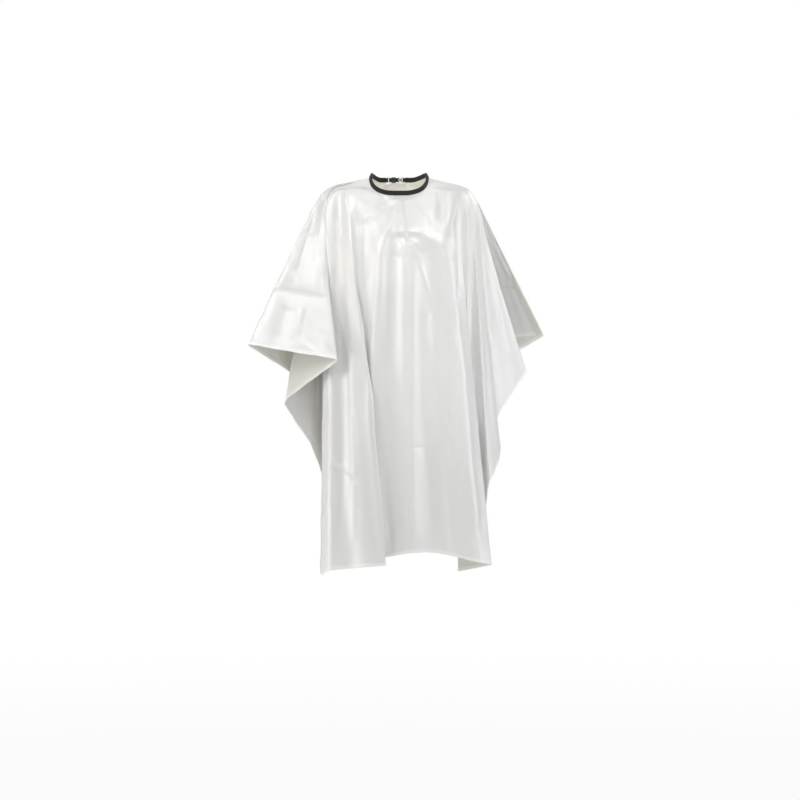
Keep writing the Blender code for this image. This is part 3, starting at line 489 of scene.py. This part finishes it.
# small creases left by folding and handling, most of them upright
rng = np.random.RandomState(17)
for k in range(60):
    x0, z0 = rng.uniform(-36, 36), rng.uniform(-92, -14)
    lean, length = rng.normal(0.0, 0.30), rng.uniform(5, 17)
    x1, z1 = x0 + math.sin(lean) * length, z0 - math.cos(lean) * length
    width, height = rng.uniform(0.55, 0.85), rng.choice([-1, 1]) * rng.uniform(0.7, 1.7)
    middle = ((x0 + x1) / 2 + rng.uniform(-0.5, 0.5), (z0 + z1) / 2)
    add_fold(facing if k % 2 else 1 - facing, [(x0, z0), middle, (x1, z1)], width, height)


# ---------------------------------------------------------------- relief: slack and puckers
def lattice(u, v, cell, seed):
    """Smooth noise between -1 and 1, with cells of the given size in cm."""
    size = 97
    grid = np.random.RandomState(seed).uniform(-1, 1, (size, size))
    x, y = u / cell[0] + 31.7, v / cell[1] + 17.3
    i, j = np.floor(x).astype(int), np.floor(y).astype(int)
    fx, fy = (f * f * f * (f * (f * 6 - 15) + 10) for f in (x - i, y - j))
    i, j, i1, j1 = i % size, j % size, (i + 1) % size, (j + 1) % size
    return ((grid[i, j] * (1 - fx) + grid[i1, j] * fx) * (1 - fy)
            + (grid[i, j1] * (1 - fx) + grid[i1, j1] * fx) * fy)


# slack and ripple of the hanging cloth, longer than it is wide; heights in mm
level = np.zeros_like(down)
relief += smoothstep(6.0, 30.0, down) * (
    lattice(around, down, cell=(7.5, 55.0), seed=3) * 3.0
    + lattice(around, down, cell=(3.2, 34.0), seed=5) * 1.6)
relief += (smoothstep(1.5, 9.0, down)
           * lattice(around * 0.6, down, cell=(1.7, 9.0), seed=8) * 0.40)
relief += lattice(cloth_x + 0.3 * cloth_y, cloth_z, cell=(2.4, 2.0), seed=11) * 0.32
relief += lattice(cloth_x - 0.3 * cloth_y, cloth_z, cell=(1.1, 1.3), seed=12) * 0.10
# puckers where the hem and the neck are stitched
for centre, spread, cell, seed, height in ((0.9, 0.8, 0.75, 21, 0.45), (0.5, 1.8, 3.4, 22, 1.3)):
    relief += (np.exp(-((from_hem - centre) / spread) ** 2)
               * lattice(around, level, cell=(cell, 1.0), seed=seed) * height)
relief += (np.exp(-((down - 1.5) / 1.1) ** 2) * smoothstep(0.9, 1.5, down)
           * lattice(fold_at * 3.0, level, cell=(0.8, 1.0), seed=23) * 0.5)
relief *= smoothstep(0.95, 2.4, down)                         # held flat inside the binding

cloth = cloth + normal * (relief * 0.1)[..., None]
normal = normals(cloth) * OUT_SIGN


# ---------------------------------------------------------------- shader building
class Graph:
    """Node tree of a material or the world, with short ways to make its nodes."""

    def __init__(self, owner):
        owner.use_nodes = True
        self.owner = owner
        self.nodes = owner.node_tree.nodes

    def fill(self, node, inputs):
        """Link or set the inputs of a node."""
        for key, value in inputs.items():
            if isinstance(value, bpy.types.NodeSocket):
                self.owner.node_tree.links.new(value, node.inputs[key])
            else:
                node.inputs[key].default_value = value

    def make(self, kind, inputs=None, **settings):
        node = self.nodes.new("ShaderNode" + kind)
        for key, value in settings.items():
            setattr(node, key, value)
        self.fill(node, inputs or {})
        return node

    def position(self):
        return self.make("NewGeometry").outputs["Position"]

    def ramp(self, source, stops):
        node = self.make("ValToRGB", {"Fac": source})
        elements = node.color_ramp.elements
        while len(elements) > 1:
            elements.remove(elements[0])
        for i, (position, colour) in enumerate(stops):
            stop = elements[0] if i == 0 else elements.new(position)
            stop.position = position
            stop.color = (*colour, 1)
        return node.outputs["Color"]

    def noise(self, coord, scale, detail, stretch=(1, 1, 1)):
        mapping = self.make("Mapping", {"Scale": stretch, "Vector": coord})
        return self.make("TexNoise", {"Scale": scale, "Detail": detail, "Roughness": 0.5,
                                      "Vector": mapping.outputs["Vector"]}).outputs["Fac"]

    def bump(self, height, distance, strength, after=None):
        inputs = {"Strength": strength, "Distance": distance, "Height": height}
        if after is not None:
            inputs["Normal"] = after
        return self.make("Bump", inputs).outputs["Normal"]

    def maths(self, operation, *values):
        return self.make("Math", dict(enumerate(values)), operation=operation).outputs[0]

    def map_range(self, source, to, start=(0.0, 1.0), interpolation="LINEAR"):
        return self.make("MapRange", {"From Min": start[0], "From Max": start[1], "To Min": to[0],
                                      "To Max": to[1], "Value": source},
                         interpolation_type=interpolation).outputs[0]

    def mix(self, factor, first, second):
        return self.make("MixShader", {0: factor, 1: first, 2: second}).outputs[0]


class Material(Graph):
    def __init__(self, name):
        super().__init__(bpy.data.materials.new(name))
        self.bsdf = self.nodes["Principled BSDF"]

    def surface(self, shader):
        self.fill(self.nodes["Material Output"], {"Surface": shader})


# ---------------------------------------------------------------- materials
def twill(graph, uv, pitch):
    """Height of a woven surface: fine ribs on the diagonal of the thread directions."""
    parts = graph.make("SeparateXYZ", {0: uv}).outputs
    turns = 2 * math.pi / pitch
    along = graph.maths("MULTIPLY", parts[0], turns)
    across = graph.maths("MULTIPLY", parts[1], turns)
    return graph.maths("SINE", graph.maths("ADD", along, across))


def satin(name, base, warm, rough, specular, anisotropy, sheen, through, through_share):
    """Cloudy white satin with a painted highlight on its turned-in edges; through is the glow of
    thin cloth lit from the other side.
    """
    mat = Material(name)
    position = mat.position()
    uv = mat.make("UVMap", uv_map="cloth").outputs["UV"]
    cloud = mat.noise(position, scale=3.2, detail=2.0, stretch=(1, 1, 0.5))
    tone = mat.ramp(cloud, [(0.35, warm), (0.62, base)])
    # painted highlight: the turned-in edges of the hem and the slit are painted lighter, where the
    # rolled edge catches the light
    turned_edge_highlight = mat.make("Attribute", attribute_name="turned_edge_highlight").outputs["Fac"]
    # a Mix node's colour inputs are 6 and 7, and its colour output is 2
    lift = mat.make("Mix", {"Factor": turned_edge_highlight, 6: tone, 7: (0.95, 0.95, 0.95, 1)},
                    data_type="RGBA")
    fine = mat.noise(position, scale=26, detail=3.0)
    streak = mat.noise(position, scale=150, detail=3.0, stretch=(1, 1, 0.06))
    wear = mat.maths("MULTIPLY", mat.maths("ADD", fine, streak), 0.5)
    tangent = mat.make("Tangent", direction_type="UV_MAP", uv_map="cloth")
    normal = mat.bump(streak, distance=0.00035, strength=0.5)
    crumple = mat.noise(position, scale=60, detail=4.0, stretch=(1, 1, 0.35))
    normal = mat.bump(crumple, distance=0.0009, strength=0.35, after=normal)
    weave = twill(mat, uv, pitch=0.0009)
    mat.fill(mat.bsdf, {
        "Base Color": lift.outputs[2],
        "Roughness": mat.map_range(wear, to=(rough - 0.06, rough + 0.08)),
        "Specular IOR Level": specular, "Anisotropic": anisotropy,
        "Sheen Weight": sheen, "Sheen Roughness": 0.35,
        "Tangent": tangent.outputs[0],
        "Normal": mat.bump(weave, distance=0.00004, strength=0.5, after=normal)})
    glow = mat.make("BsdfTranslucent", {"Color": (*through, 1)}).outputs[0]
    mat.surface(mat.mix(through_share, mat.bsdf.outputs[0], glow))
    return mat


def tape(name, base, pitch, rib):
    """Woven tape or ribbed elastic, with painted light and shade on its weave; rib is the weave's
    frequency in plan against its height.
    """
    mat = Material(name)
    position = mat.position()
    parts = mat.make("SeparateXYZ", {0: mat.make("TexCoord").outputs["Object"]}).outputs
    turns = 2 * math.pi / pitch
    upright = mat.maths("SINE", mat.maths("MULTIPLY", parts[2], turns))
    plan = mat.maths("ADD", mat.maths("MULTIPLY", parts[0], turns * rib),
                     mat.maths("MULTIPLY", parts[1], turns * rib))
    weave = mat.maths("MULTIPLY", upright, mat.maths("SINE", plan))
    lint = mat.noise(position, scale=900, detail=3.0)
    # painted light and shade: the ribs of the weave are painted lighter and its grooves darker, with
    # random lint on top
    tone = mat.maths("ADD", mat.maths("MULTIPLY", weave, 0.18), lint)
    normal = mat.bump(weave, distance=0.00012, strength=0.8)
    mat.fill(mat.bsdf, {
        "Base Color": mat.ramp(tone, [(0.3, [c * 0.6 for c in base]),
                                      (0.75, [c * 1.5 for c in base])]),
        "Roughness": 0.78, "Specular IOR Level": 0.25,
        "Sheen Weight": 0.12, "Sheen Roughness": 0.5,
        "Normal": mat.bump(lint, distance=0.0001, strength=0.4, after=normal)})
    return mat.owner


def speckled(name, dark, base, scale, detail, bump, rough=None, rough_range=None, **inputs):
    """Finish with one fine noise in its colour and bump (distance, strength)."""
    mat = Material(name)
    grain = mat.noise(mat.position(), scale, detail)
    if rough_range:
        rough = mat.map_range(grain, to=rough_range)
    mat.fill(mat.bsdf, {
        "Base Color": mat.ramp(grain, [(0.3, dark), (0.7, base)]),
        "Roughness": rough, "Normal": mat.bump(grain, *bump),
        **{key.replace("_", " ").title(): value for key, value in inputs.items()}})
    return mat.owner


def thread(name, base):
    return speckled(name, dark=[c * 0.8 for c in base], base=base, scale=2600, detail=2.0,
                    bump=(0.00008, 0.6), rough=0.6, sheen_weight=0.2)


face = satin("satin_face", base=(0.850, 0.856, 0.864), warm=(0.850, 0.852, 0.848), rough=0.31,
             specular=0.95, anisotropy=0.5, sheen=0.06, through=(0.95, 0.94, 0.91),
             through_share=0.20)
face.fill(face.bsdf, {"IOR": 1.8})
back = satin("satin_back", base=(0.86, 0.853, 0.818), warm=(0.845, 0.833, 0.782), rough=0.5,
             specular=0.35, anisotropy=0.1, sheen=0.1, through=(0.96, 0.94, 0.88),
             through_share=0.32)
TAPE = tape("black_tape", base=(0.021, 0.021, 0.021), pitch=0.0009, rib=1.0)
ELASTIC = tape("black_elastic", base=(0.017, 0.017, 0.018), pitch=0.0011, rib=0.35)
PALE_GOLD = (0.83, 0.76, 0.56)
GOLD = speckled("pale_gold_wire", dark=[c * 0.86 for c in PALE_GOLD], base=PALE_GOLD, scale=700,
                detail=4.0, bump=(0.00003, 0.5), rough_range=(0.22, 0.22 + 0.16), metallic=1.0)
PLASTIC = speckled("black_moulding", dark=(0.018, 0.018, 0.019), base=(0.03, 0.03, 0.032),
                   scale=1500, detail=2.0, bump=(0.00004, 0.4), rough=0.42)
WHITE_THREAD = thread("white_thread", base=(0.86, 0.86, 0.85))
BLACK_THREAD = thread("black_thread", base=(0.035, 0.035, 0.035))


# ---------------------------------------------------------------- mesh helpers
def smooth_mesh(mesh, degrees):
    mesh.shade_smooth()
    mesh.set_sharp_from_angle(angle=math.radians(degrees))


def new_object(name, verts, faces, *materials):
    mesh = bpy.data.meshes.new(name)
    mesh.from_pydata(verts, [], faces)
    obj = bpy.data.objects.new(name, mesh)
    bpy.context.scene.collection.objects.link(obj)
    for material in materials:
        mesh.materials.append(material)
    return obj


def register(obj, node):
    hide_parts(node)
    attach(obj, "cape")


# ---------------------------------------------------------------- the cape
hem_band = 1 - smoothstep(0.88, 0.98, from_hem)
from_slit = np.minimum(round_row, round_row[:, -1:] - round_row)
slit_band = (1 - smoothstep(0.55, 0.65, from_slit)) * smoothstep(1.3, 2.0, down)
turned = np.maximum(hem_band, slit_band)                      # 1 where the edge is turned in
# the hem's edge is rolled, not cut
rolled_edge = 0.45 + 0.55 * smoothstep(-0.02, 0.14, from_hem)
half_thick = ((SHEET + HEM_EXTRA * turned) * rolled_edge / 2)[..., None]
outer = cloth * CM_TO_M + normal * half_thick
inner = cloth * CM_TO_M - normal * half_thick


def shell_faces():
    """Quads of the outer sheet, the inner sheet and the rim."""
    count = ROWS * COLUMNS
    grid = np.arange(count).reshape(ROWS, COLUMNS)
    a, b, c, d = (part.ravel() for part in (grid[:-1, :-1], grid[:-1, 1:], grid[1:, 1:],
                                            grid[1:, :-1]))
    outside = np.stack([a, b, c, d] if OUT_SIGN < 0 else [a, d, c, b], 1)
    loop = np.concatenate([grid[0, :], grid[1:, -1], grid[-1, -2::-1], grid[-2:0:-1, 0]])
    ahead = np.roll(loop, -1)
    rim = np.stack([loop, ahead, ahead + count, loop + count], 1)
    if OUT_SIGN < 0:
        rim = rim[:, ::-1]
    return outside, outside[:, ::-1] + count, rim


def build_cape():
    outside, inside, rim = shell_faces()
    verts = np.concatenate([outer.reshape(-1, 3), inner.reshape(-1, 3)])
    cape = new_object("satin_cape", verts.tolist(), np.concatenate([outside, inside, rim]).tolist(),
                      face.owner, back.owner)
    mesh = cape.data
    material_index = np.zeros(len(mesh.polygons), np.int32)
    material_index[len(outside):len(outside) + len(inside)] = 1
    mesh.polygons.foreach_set("material_index", material_index)
    uv = mesh.uv_layers.new(name="cloth")
    cloth_uv = np.stack([around * CM_TO_M, -down * CM_TO_M], 2).reshape(-1, 2)
    corner = np.zeros(len(mesh.loops), np.int32)
    mesh.loops.foreach_get("vertex_index", corner)
    corner_uv = cloth_uv[corner % (ROWS * COLUMNS)]
    uv.data.foreach_set("uv", corner_uv.astype(np.float32).ravel())
    # the turned-edge mask also carries the painted highlight into the satin's colour
    attribute = mesh.attributes.new("turned_edge_highlight", "FLOAT", "POINT")
    attribute.data.foreach_set("value", np.tile(turned.ravel(), 2).astype(np.float32))
    smooth_mesh(mesh, 75)
    register(cape, "cape_panel")


build_cape()

# ---------------------------------------------------------------- stitching
WHITE_STITCH = dict(pitch=0.0030, length=0.0024, radius=0.00028, material=WHITE_THREAD,
                    slot="white_thread")
BLACK_STITCH = dict(pitch=0.0026, length=0.0021, radius=0.00026, material=BLACK_THREAD,
                    slot="black_thread")
# rings of a stitch: place along its length, lift and size in thread radii
STITCH_RINGS = ((-0.5, -0.55, 0.35), (-0.28, 0.25, 1.0), (0.28, 0.25, 1.0), (0.5, -0.55, 0.35))
STITCH_SIDES = 5


def unit(rows):
    return rows / (np.linalg.norm(rows, axis=1, keepdims=True) + 1e-12)


def resample(points, normals_at, pitch):
    """Stations along a seam at an even pitch: position, normal and direction."""
    run = np.concatenate([[0], np.cumsum(np.linalg.norm(np.diff(points, axis=0), axis=1))])
    at = np.arange(pitch * 0.6, run[-1] - pitch * 0.6, pitch)

    def sample(values, where):
        return np.stack([np.interp(where, run, values[:, k]) for k in range(3)], 1)

    places = sample(points, at)
    return places, unit(sample(normals_at, at)), unit(sample(points, at + 0.0004) - places)


def stitches(name, node, seam, pitch, length, radius, material, slot):
    """One mesh of small stitches, each a bead of thread that dips into the cloth at its ends."""
    verts, faces = [], []
    places, outs, ways = resample(*seam, pitch)
    for place, out, way, side in zip(places, outs, ways, np.cross(ways, outs)):
        base = len(verts)
        for along, lift, size in STITCH_RINGS:
            centre = place + way * length * along + out * radius * lift
            for k in range(STITCH_SIDES):
                turn = 2 * math.pi * k / STITCH_SIDES
                spoke = side * math.cos(turn) + out * math.sin(turn)
                verts.append(tuple(centre + spoke * radius * size))
        for ring in range(len(STITCH_RINGS) - 1):
            start = base + ring * STITCH_SIDES
            for k in range(STITCH_SIDES):
                a, b = start + k, start + (k + 1) % STITCH_SIDES
                faces.append((a, b, b + STITCH_SIDES, a + STITCH_SIDES))
        faces.append(tuple(base + k for k in reversed(range(STITCH_SIDES))))
        last = base + (len(STITCH_RINGS) - 1) * STITCH_SIDES
        faces.append(tuple(last + k for k in range(STITCH_SIDES)))
    obj = new_object(name, verts, faces, material)
    obj.data.shade_smooth()
    register(obj, node)


def slit_seam(edge):
    """Seam down beside an edge of the slit: column 0 is the left panel's, -1 the right's."""
    points, outs = [], []
    for r in range(ROWS):
        if down[r, edge] < 2.2 or from_hem[r, edge] < 1.0:
            continue
        run = round_row[r]
        at = SEAM_FROM_SLIT if edge == 0 else run[-1] - SEAM_FROM_SLIT
        points.append([np.interp(at, run, outer[r, :, k]) for k in range(3)])
        outs.append([np.interp(at, run, normal[r, :, k]) for k in range(3)])
    return np.array(points), np.array(outs)


seam_row = ROWS - len(HEM_ROWS) + HEM_ROWS.index(SEAM_ABOVE_HEM)
seam_start, seam_stop = np.searchsorted(round_hem, [0.8, round_hem[-1] - 0.8])
hem_seam = (outer[seam_row, seam_start:seam_stop], normal[seam_row, seam_start:seam_stop])
stitches("hem_stitching", "hem_thread", hem_seam, **WHITE_STITCH)
stitches("slit_stitching_left", "slit_thread_left", slit_seam(0), **WHITE_STITCH)
stitches("slit_stitching_right", "slit_thread_right", slit_seam(-1), **WHITE_STITCH)

# ---------------------------------------------------------------- neck binding
# outer half of the section, cm: out from the centreline, up the band
OUTER_SIDE = [
    (0.000, 0.650), (0.075, 0.642), (0.122, 0.610), (0.145, 0.550), (0.150, 0.400), (0.150, 0.0),
    (0.148, -0.350), (0.140, -0.540), (0.120, -0.625), (0.085, -0.650), (0.055, -0.640),
    (0.045, -0.600), (0.055, -0.480), (0.072, -0.300), (0.072, 0.460), (0.045, 0.530)]
PROFILE = OUTER_SIDE + [(0.0, 0.545)] + [(-out, up) for out, up in OUTER_SIDE[:0:-1]]
SEAM_DOWN = 0.42           # cm below the centreline


def band_frame(angle):
    """Centre of the band, its direction down and its direction outwards."""
    centre, slope = neck_point(angle), neck_slope(angle)
    out = np.cross(slope, neck_point(angle + 0.5) - neck_point(angle - 0.5))
    out = out / np.linalg.norm(out)
    if out @ (centre - np.array([0, NECK_HALF_DEPTH, centre[2]])) < 0:
        out = -out
    if abs(angle) < THROAT_FLAT + 2:
        share = smoothstep(THROAT_FLAT, THROAT_FLAT + 2, abs(angle))
        slope = slope * share + np.array([0, 0, -1.0]) * (1 - share)
        out = out * share + np.array([0, -1.0, 0]) * (1 - share)
        slope, out = slope / np.linalg.norm(slope), out / np.linalg.norm(out)
    return centre, slope, out


def build_binding():
    angles = np.arange(BAND_ENDS[0], BAND_ENDS[1] + 0.01, 1.0)
    knots = np.arange(0, len(angles) + 6, 3.0)
    wobbles = np.interp(np.arange(len(angles)), knots,
                        np.random.RandomState(5).uniform(-1, 1, len(knots)))
    verts, seam, seam_outs = [], [], []
    for i, (angle, wobble) in enumerate(zip(angles, wobbles)):
        centre, slope, out = band_frame(angle)
        for away, up in PROFILE:
            low = max(-up - 0.1, 0) / 0.55
            puff = math.copysign(0.004, away) * wobble if abs(away) > 0.13 else 0
            dimple = 0                                        # where the stitching pulls it in
            if abs(away) > 0.1:
                dimple = -math.copysign(0.010, away) * math.exp(-((up + SEAM_DOWN) / 0.07) ** 2)
            place = centre + out * (away + puff + dimple) - slope * (up + 0.006 * wobble * low)
            verts.append(tuple(place * CM_TO_M))
        if 1 < i < len(angles) - 2:
            seam.append((centre + out * (BAND_HALF - 0.006) + slope * SEAM_DOWN) * CM_TO_M)
            seam_outs.append(out)
    n = len(PROFILE)
    faces = [(i * n + j, i * n + (j + 1) % n, (i + 1) * n + (j + 1) % n, (i + 1) * n + j)
             for i in range(len(angles) - 1) for j in range(n)]
    faces += [tuple(range(n)), tuple(range((len(angles) - 1) * n, len(angles) * n))[::-1]]
    binding = new_object("neck_tape", verts, faces, TAPE)
    shell = bmesh.new()
    shell.from_mesh(binding.data)
    bmesh.ops.recalc_face_normals(shell, faces=shell.faces)
    shell.to_mesh(binding.data)
    shell.free()
    smooth_mesh(binding.data, 45)
    register(binding, "neck_binding")
    stitches("binding_stitching", "binding_thread", (np.array(seam), np.array(seam_outs)),
             **BLACK_STITCH)


build_binding()

# ---------------------------------------------------------------- closure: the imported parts
# node, material, degrees above which an edge stays sharp
for node, material, sharp_from in (
        ("tab_left", TAPE, 50), ("tab_right", TAPE, 50), ("adjuster_ring", GOLD, 50),
        ("eye_ring", GOLD, 50), ("strap_hook", GOLD, 30), ("elastic_strap", ELASTIC, 50),
        ("slider", PLASTIC, 30), ("bartack_left", BLACK_THREAD, 50),
        ("bartack_right", BLACK_THREAD, 50)):
    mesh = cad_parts[node].data
    mesh.materials.clear()
    mesh.materials.append(material)
    smooth_mesh(mesh, sharp_from)


# ---------------------------------------------------------------- floor and world
def floor_material():
    """Plain pale floor; the camera sees it as an emission with painted shade, a little grey near the
    middle, that turns into the white background with distance.
    """
    mat = Material("pale_floor")
    mat.fill(mat.bsdf, {"Base Color": (0.86, 0.86, 0.86, 1), "Roughness": 0.9})
    distance = mat.make("VectorMath", {0: mat.position()}, operation="LENGTH").outputs["Value"]
    # painted shade: the floor is a little darker near the middle and fades to white further out
    glow = mat.map_range(distance, to=(0.955, 1.0), start=(1.7, 5.5), interpolation="SMOOTHSTEP")
    emission = mat.make("Emission", {"Strength": glow}).outputs[0]
    seen = mat.make("LightPath").outputs["Is Camera Ray"]
    mat.surface(mat.mix(seen, mat.bsdf.outputs[0], emission))
    return mat.owner


def build_world():
    """Grey gradient that lights the cape, plain white to the camera."""
    world = bpy.data.worlds.new("studio")
    bpy.context.scene.world = world
    sky = Graph(world)
    background = sky.nodes["Background"]
    up = sky.make("SeparateXYZ", {0: sky.make("TexCoord").outputs["Generated"]}).outputs[2]
    height = sky.maths("MULTIPLY", sky.maths("ADD", up, 1.0), 0.5)
    greys = ((0.0, 0.35), (0.46, 0.42), (0.62, 0.62), (1.0, 0.95))
    gradient = sky.ramp(height, [(stop, (grey,) * 3) for stop, grey in greys])
    sky.fill(background, {"Color": gradient, "Strength": 0.48})
    seen = sky.make("LightPath").outputs["Is Camera Ray"]
    white = sky.make("Background", {"Color": (1, 1, 1, 1)}).outputs[0]
    sky.fill(sky.nodes["World Output"], {"Surface": sky.mix(seen, background.outputs[0], white)})


bpy.ops.mesh.primitive_circle_add(vertices=96, radius=60, fill_type="NGON",
                                  location=(0, 0, -1.66))
floor = bpy.context.active_object
floor.name = "floor"
floor.data.materials.append(floor_material())
build_world()


# ---------------------------------------------------------------- lights
def lamp(name, kind, at, toward, power, colour):
    light = bpy.data.lights.new(name, kind)
    light.energy, light.color = power, colour
    obj = bpy.data.objects.new(name, light)
    bpy.context.scene.collection.objects.link(obj)
    obj.location = at
    obj.rotation_mode = "QUATERNION"
    obj.rotation_quaternion = (Vector(toward) - Vector(at)).to_track_quat("-Z", "Y")
    return obj


def softbox(name, at, toward, size, power, colour=(1, 1, 1)):
    """Rectangular light; size is its width and height."""
    obj = lamp(name, "AREA", at, toward, power, colour)
    obj.data.shape = "RECTANGLE"
    obj.data.size, obj.data.size_y = size
    return obj


def snoot(name, at, toward, power, degrees, colour):
    """Narrow soft-edged spot."""
    light = lamp(name, "SPOT", at, toward, power, colour).data
    light.spot_size, light.spot_blend = math.radians(degrees), 1.0
    light.shadow_soft_size = 0.35


BODY = (0, 0.05, -0.4)     # most lights point here
softbox("key_left", at=(-3.2, -2.8, 2.1), toward=BODY, size=(1.1, 1.6), power=72,
        colour=(1.0, 0.985, 0.955))
softbox("front_high", at=(0.3, -2.9, 2.9), toward=(0, 0.05, -0.2), size=(0.9, 0.9), power=42,
        colour=(0.98, 0.99, 1.0))
softbox("fill_right", at=(3.9, -1.2, 0.3), toward=BODY, size=(1.7, 2.0), power=44,
        colour=(0.97, 0.985, 1.0))
softbox("fill_left", at=(-4.0, -0.8, -0.7), toward=(-0.2, 0.05, -0.4), size=(1.4, 1.8), power=32,
        colour=(1.0, 0.97, 0.90))
softbox("low_right", at=(2.4, -3.4, -1.5), toward=(0.3, 0.1, -0.4), size=(1.2, 0.8), power=12,
        colour=(0.99, 0.99, 1.0))
snoot("snoot_left", at=(-1.3, -4.4, 0.3), toward=(-0.24, 0.0, -0.32), power=120, degrees=8.0,
      colour=(1.0, 0.98, 0.92))
snoot("snoot_right", at=(0.5, -4.4, -1.3), toward=(0.35, 0.2, -0.32), power=600, degrees=5.0,
      colour=(1.0, 0.995, 0.98))
softbox("back_left", at=(-2.6, 3.2, 0.9), toward=(0, 0.1, -0.4), size=(1.3, 1.3), power=44)
softbox("back_right", at=(2.8, 3.0, 0.9), toward=(0, 0.1, -0.4), size=(1.3, 1.3), power=36)
softbox("top", at=(0.2, 0.2, 2.4), toward=(0, 0.05, -0.3), size=(1.4, 1.4), power=10)
inside_neck = softbox("inside_neck", at=(0.0, 0.03, -0.30), toward=(0.0, 0.14, 0.02),
                      size=(0.10, 0.10), power=0.42, colour=(1.0, 0.985, 0.94))
inside_neck.visible_camera = False

# ---------------------------------------------------------------- camera
DISTANCE, VIEW_WIDTH = 16.0, 2.16
SENSOR = 36                # mm
CENTRE = Vector((0.0027, 0.0, -0.559))
camera_data = bpy.data.cameras.new("camera")
camera = bpy.data.objects.new("camera", camera_data)
bpy.context.scene.collection.objects.link(camera)
camera_data.sensor_width = SENSOR
camera_data.lens = SENSOR * DISTANCE / VIEW_WIDTH
camera_data.clip_end = 200
camera.location = (CENTRE.x, -DISTANCE, 0.12)
camera.rotation_euler = (CENTRE - camera.location).to_track_quat("-Z", "Y").to_euler()
bpy.context.scene.camera = camera
bpy.context.scene.view_settings.view_transform = "Standard"
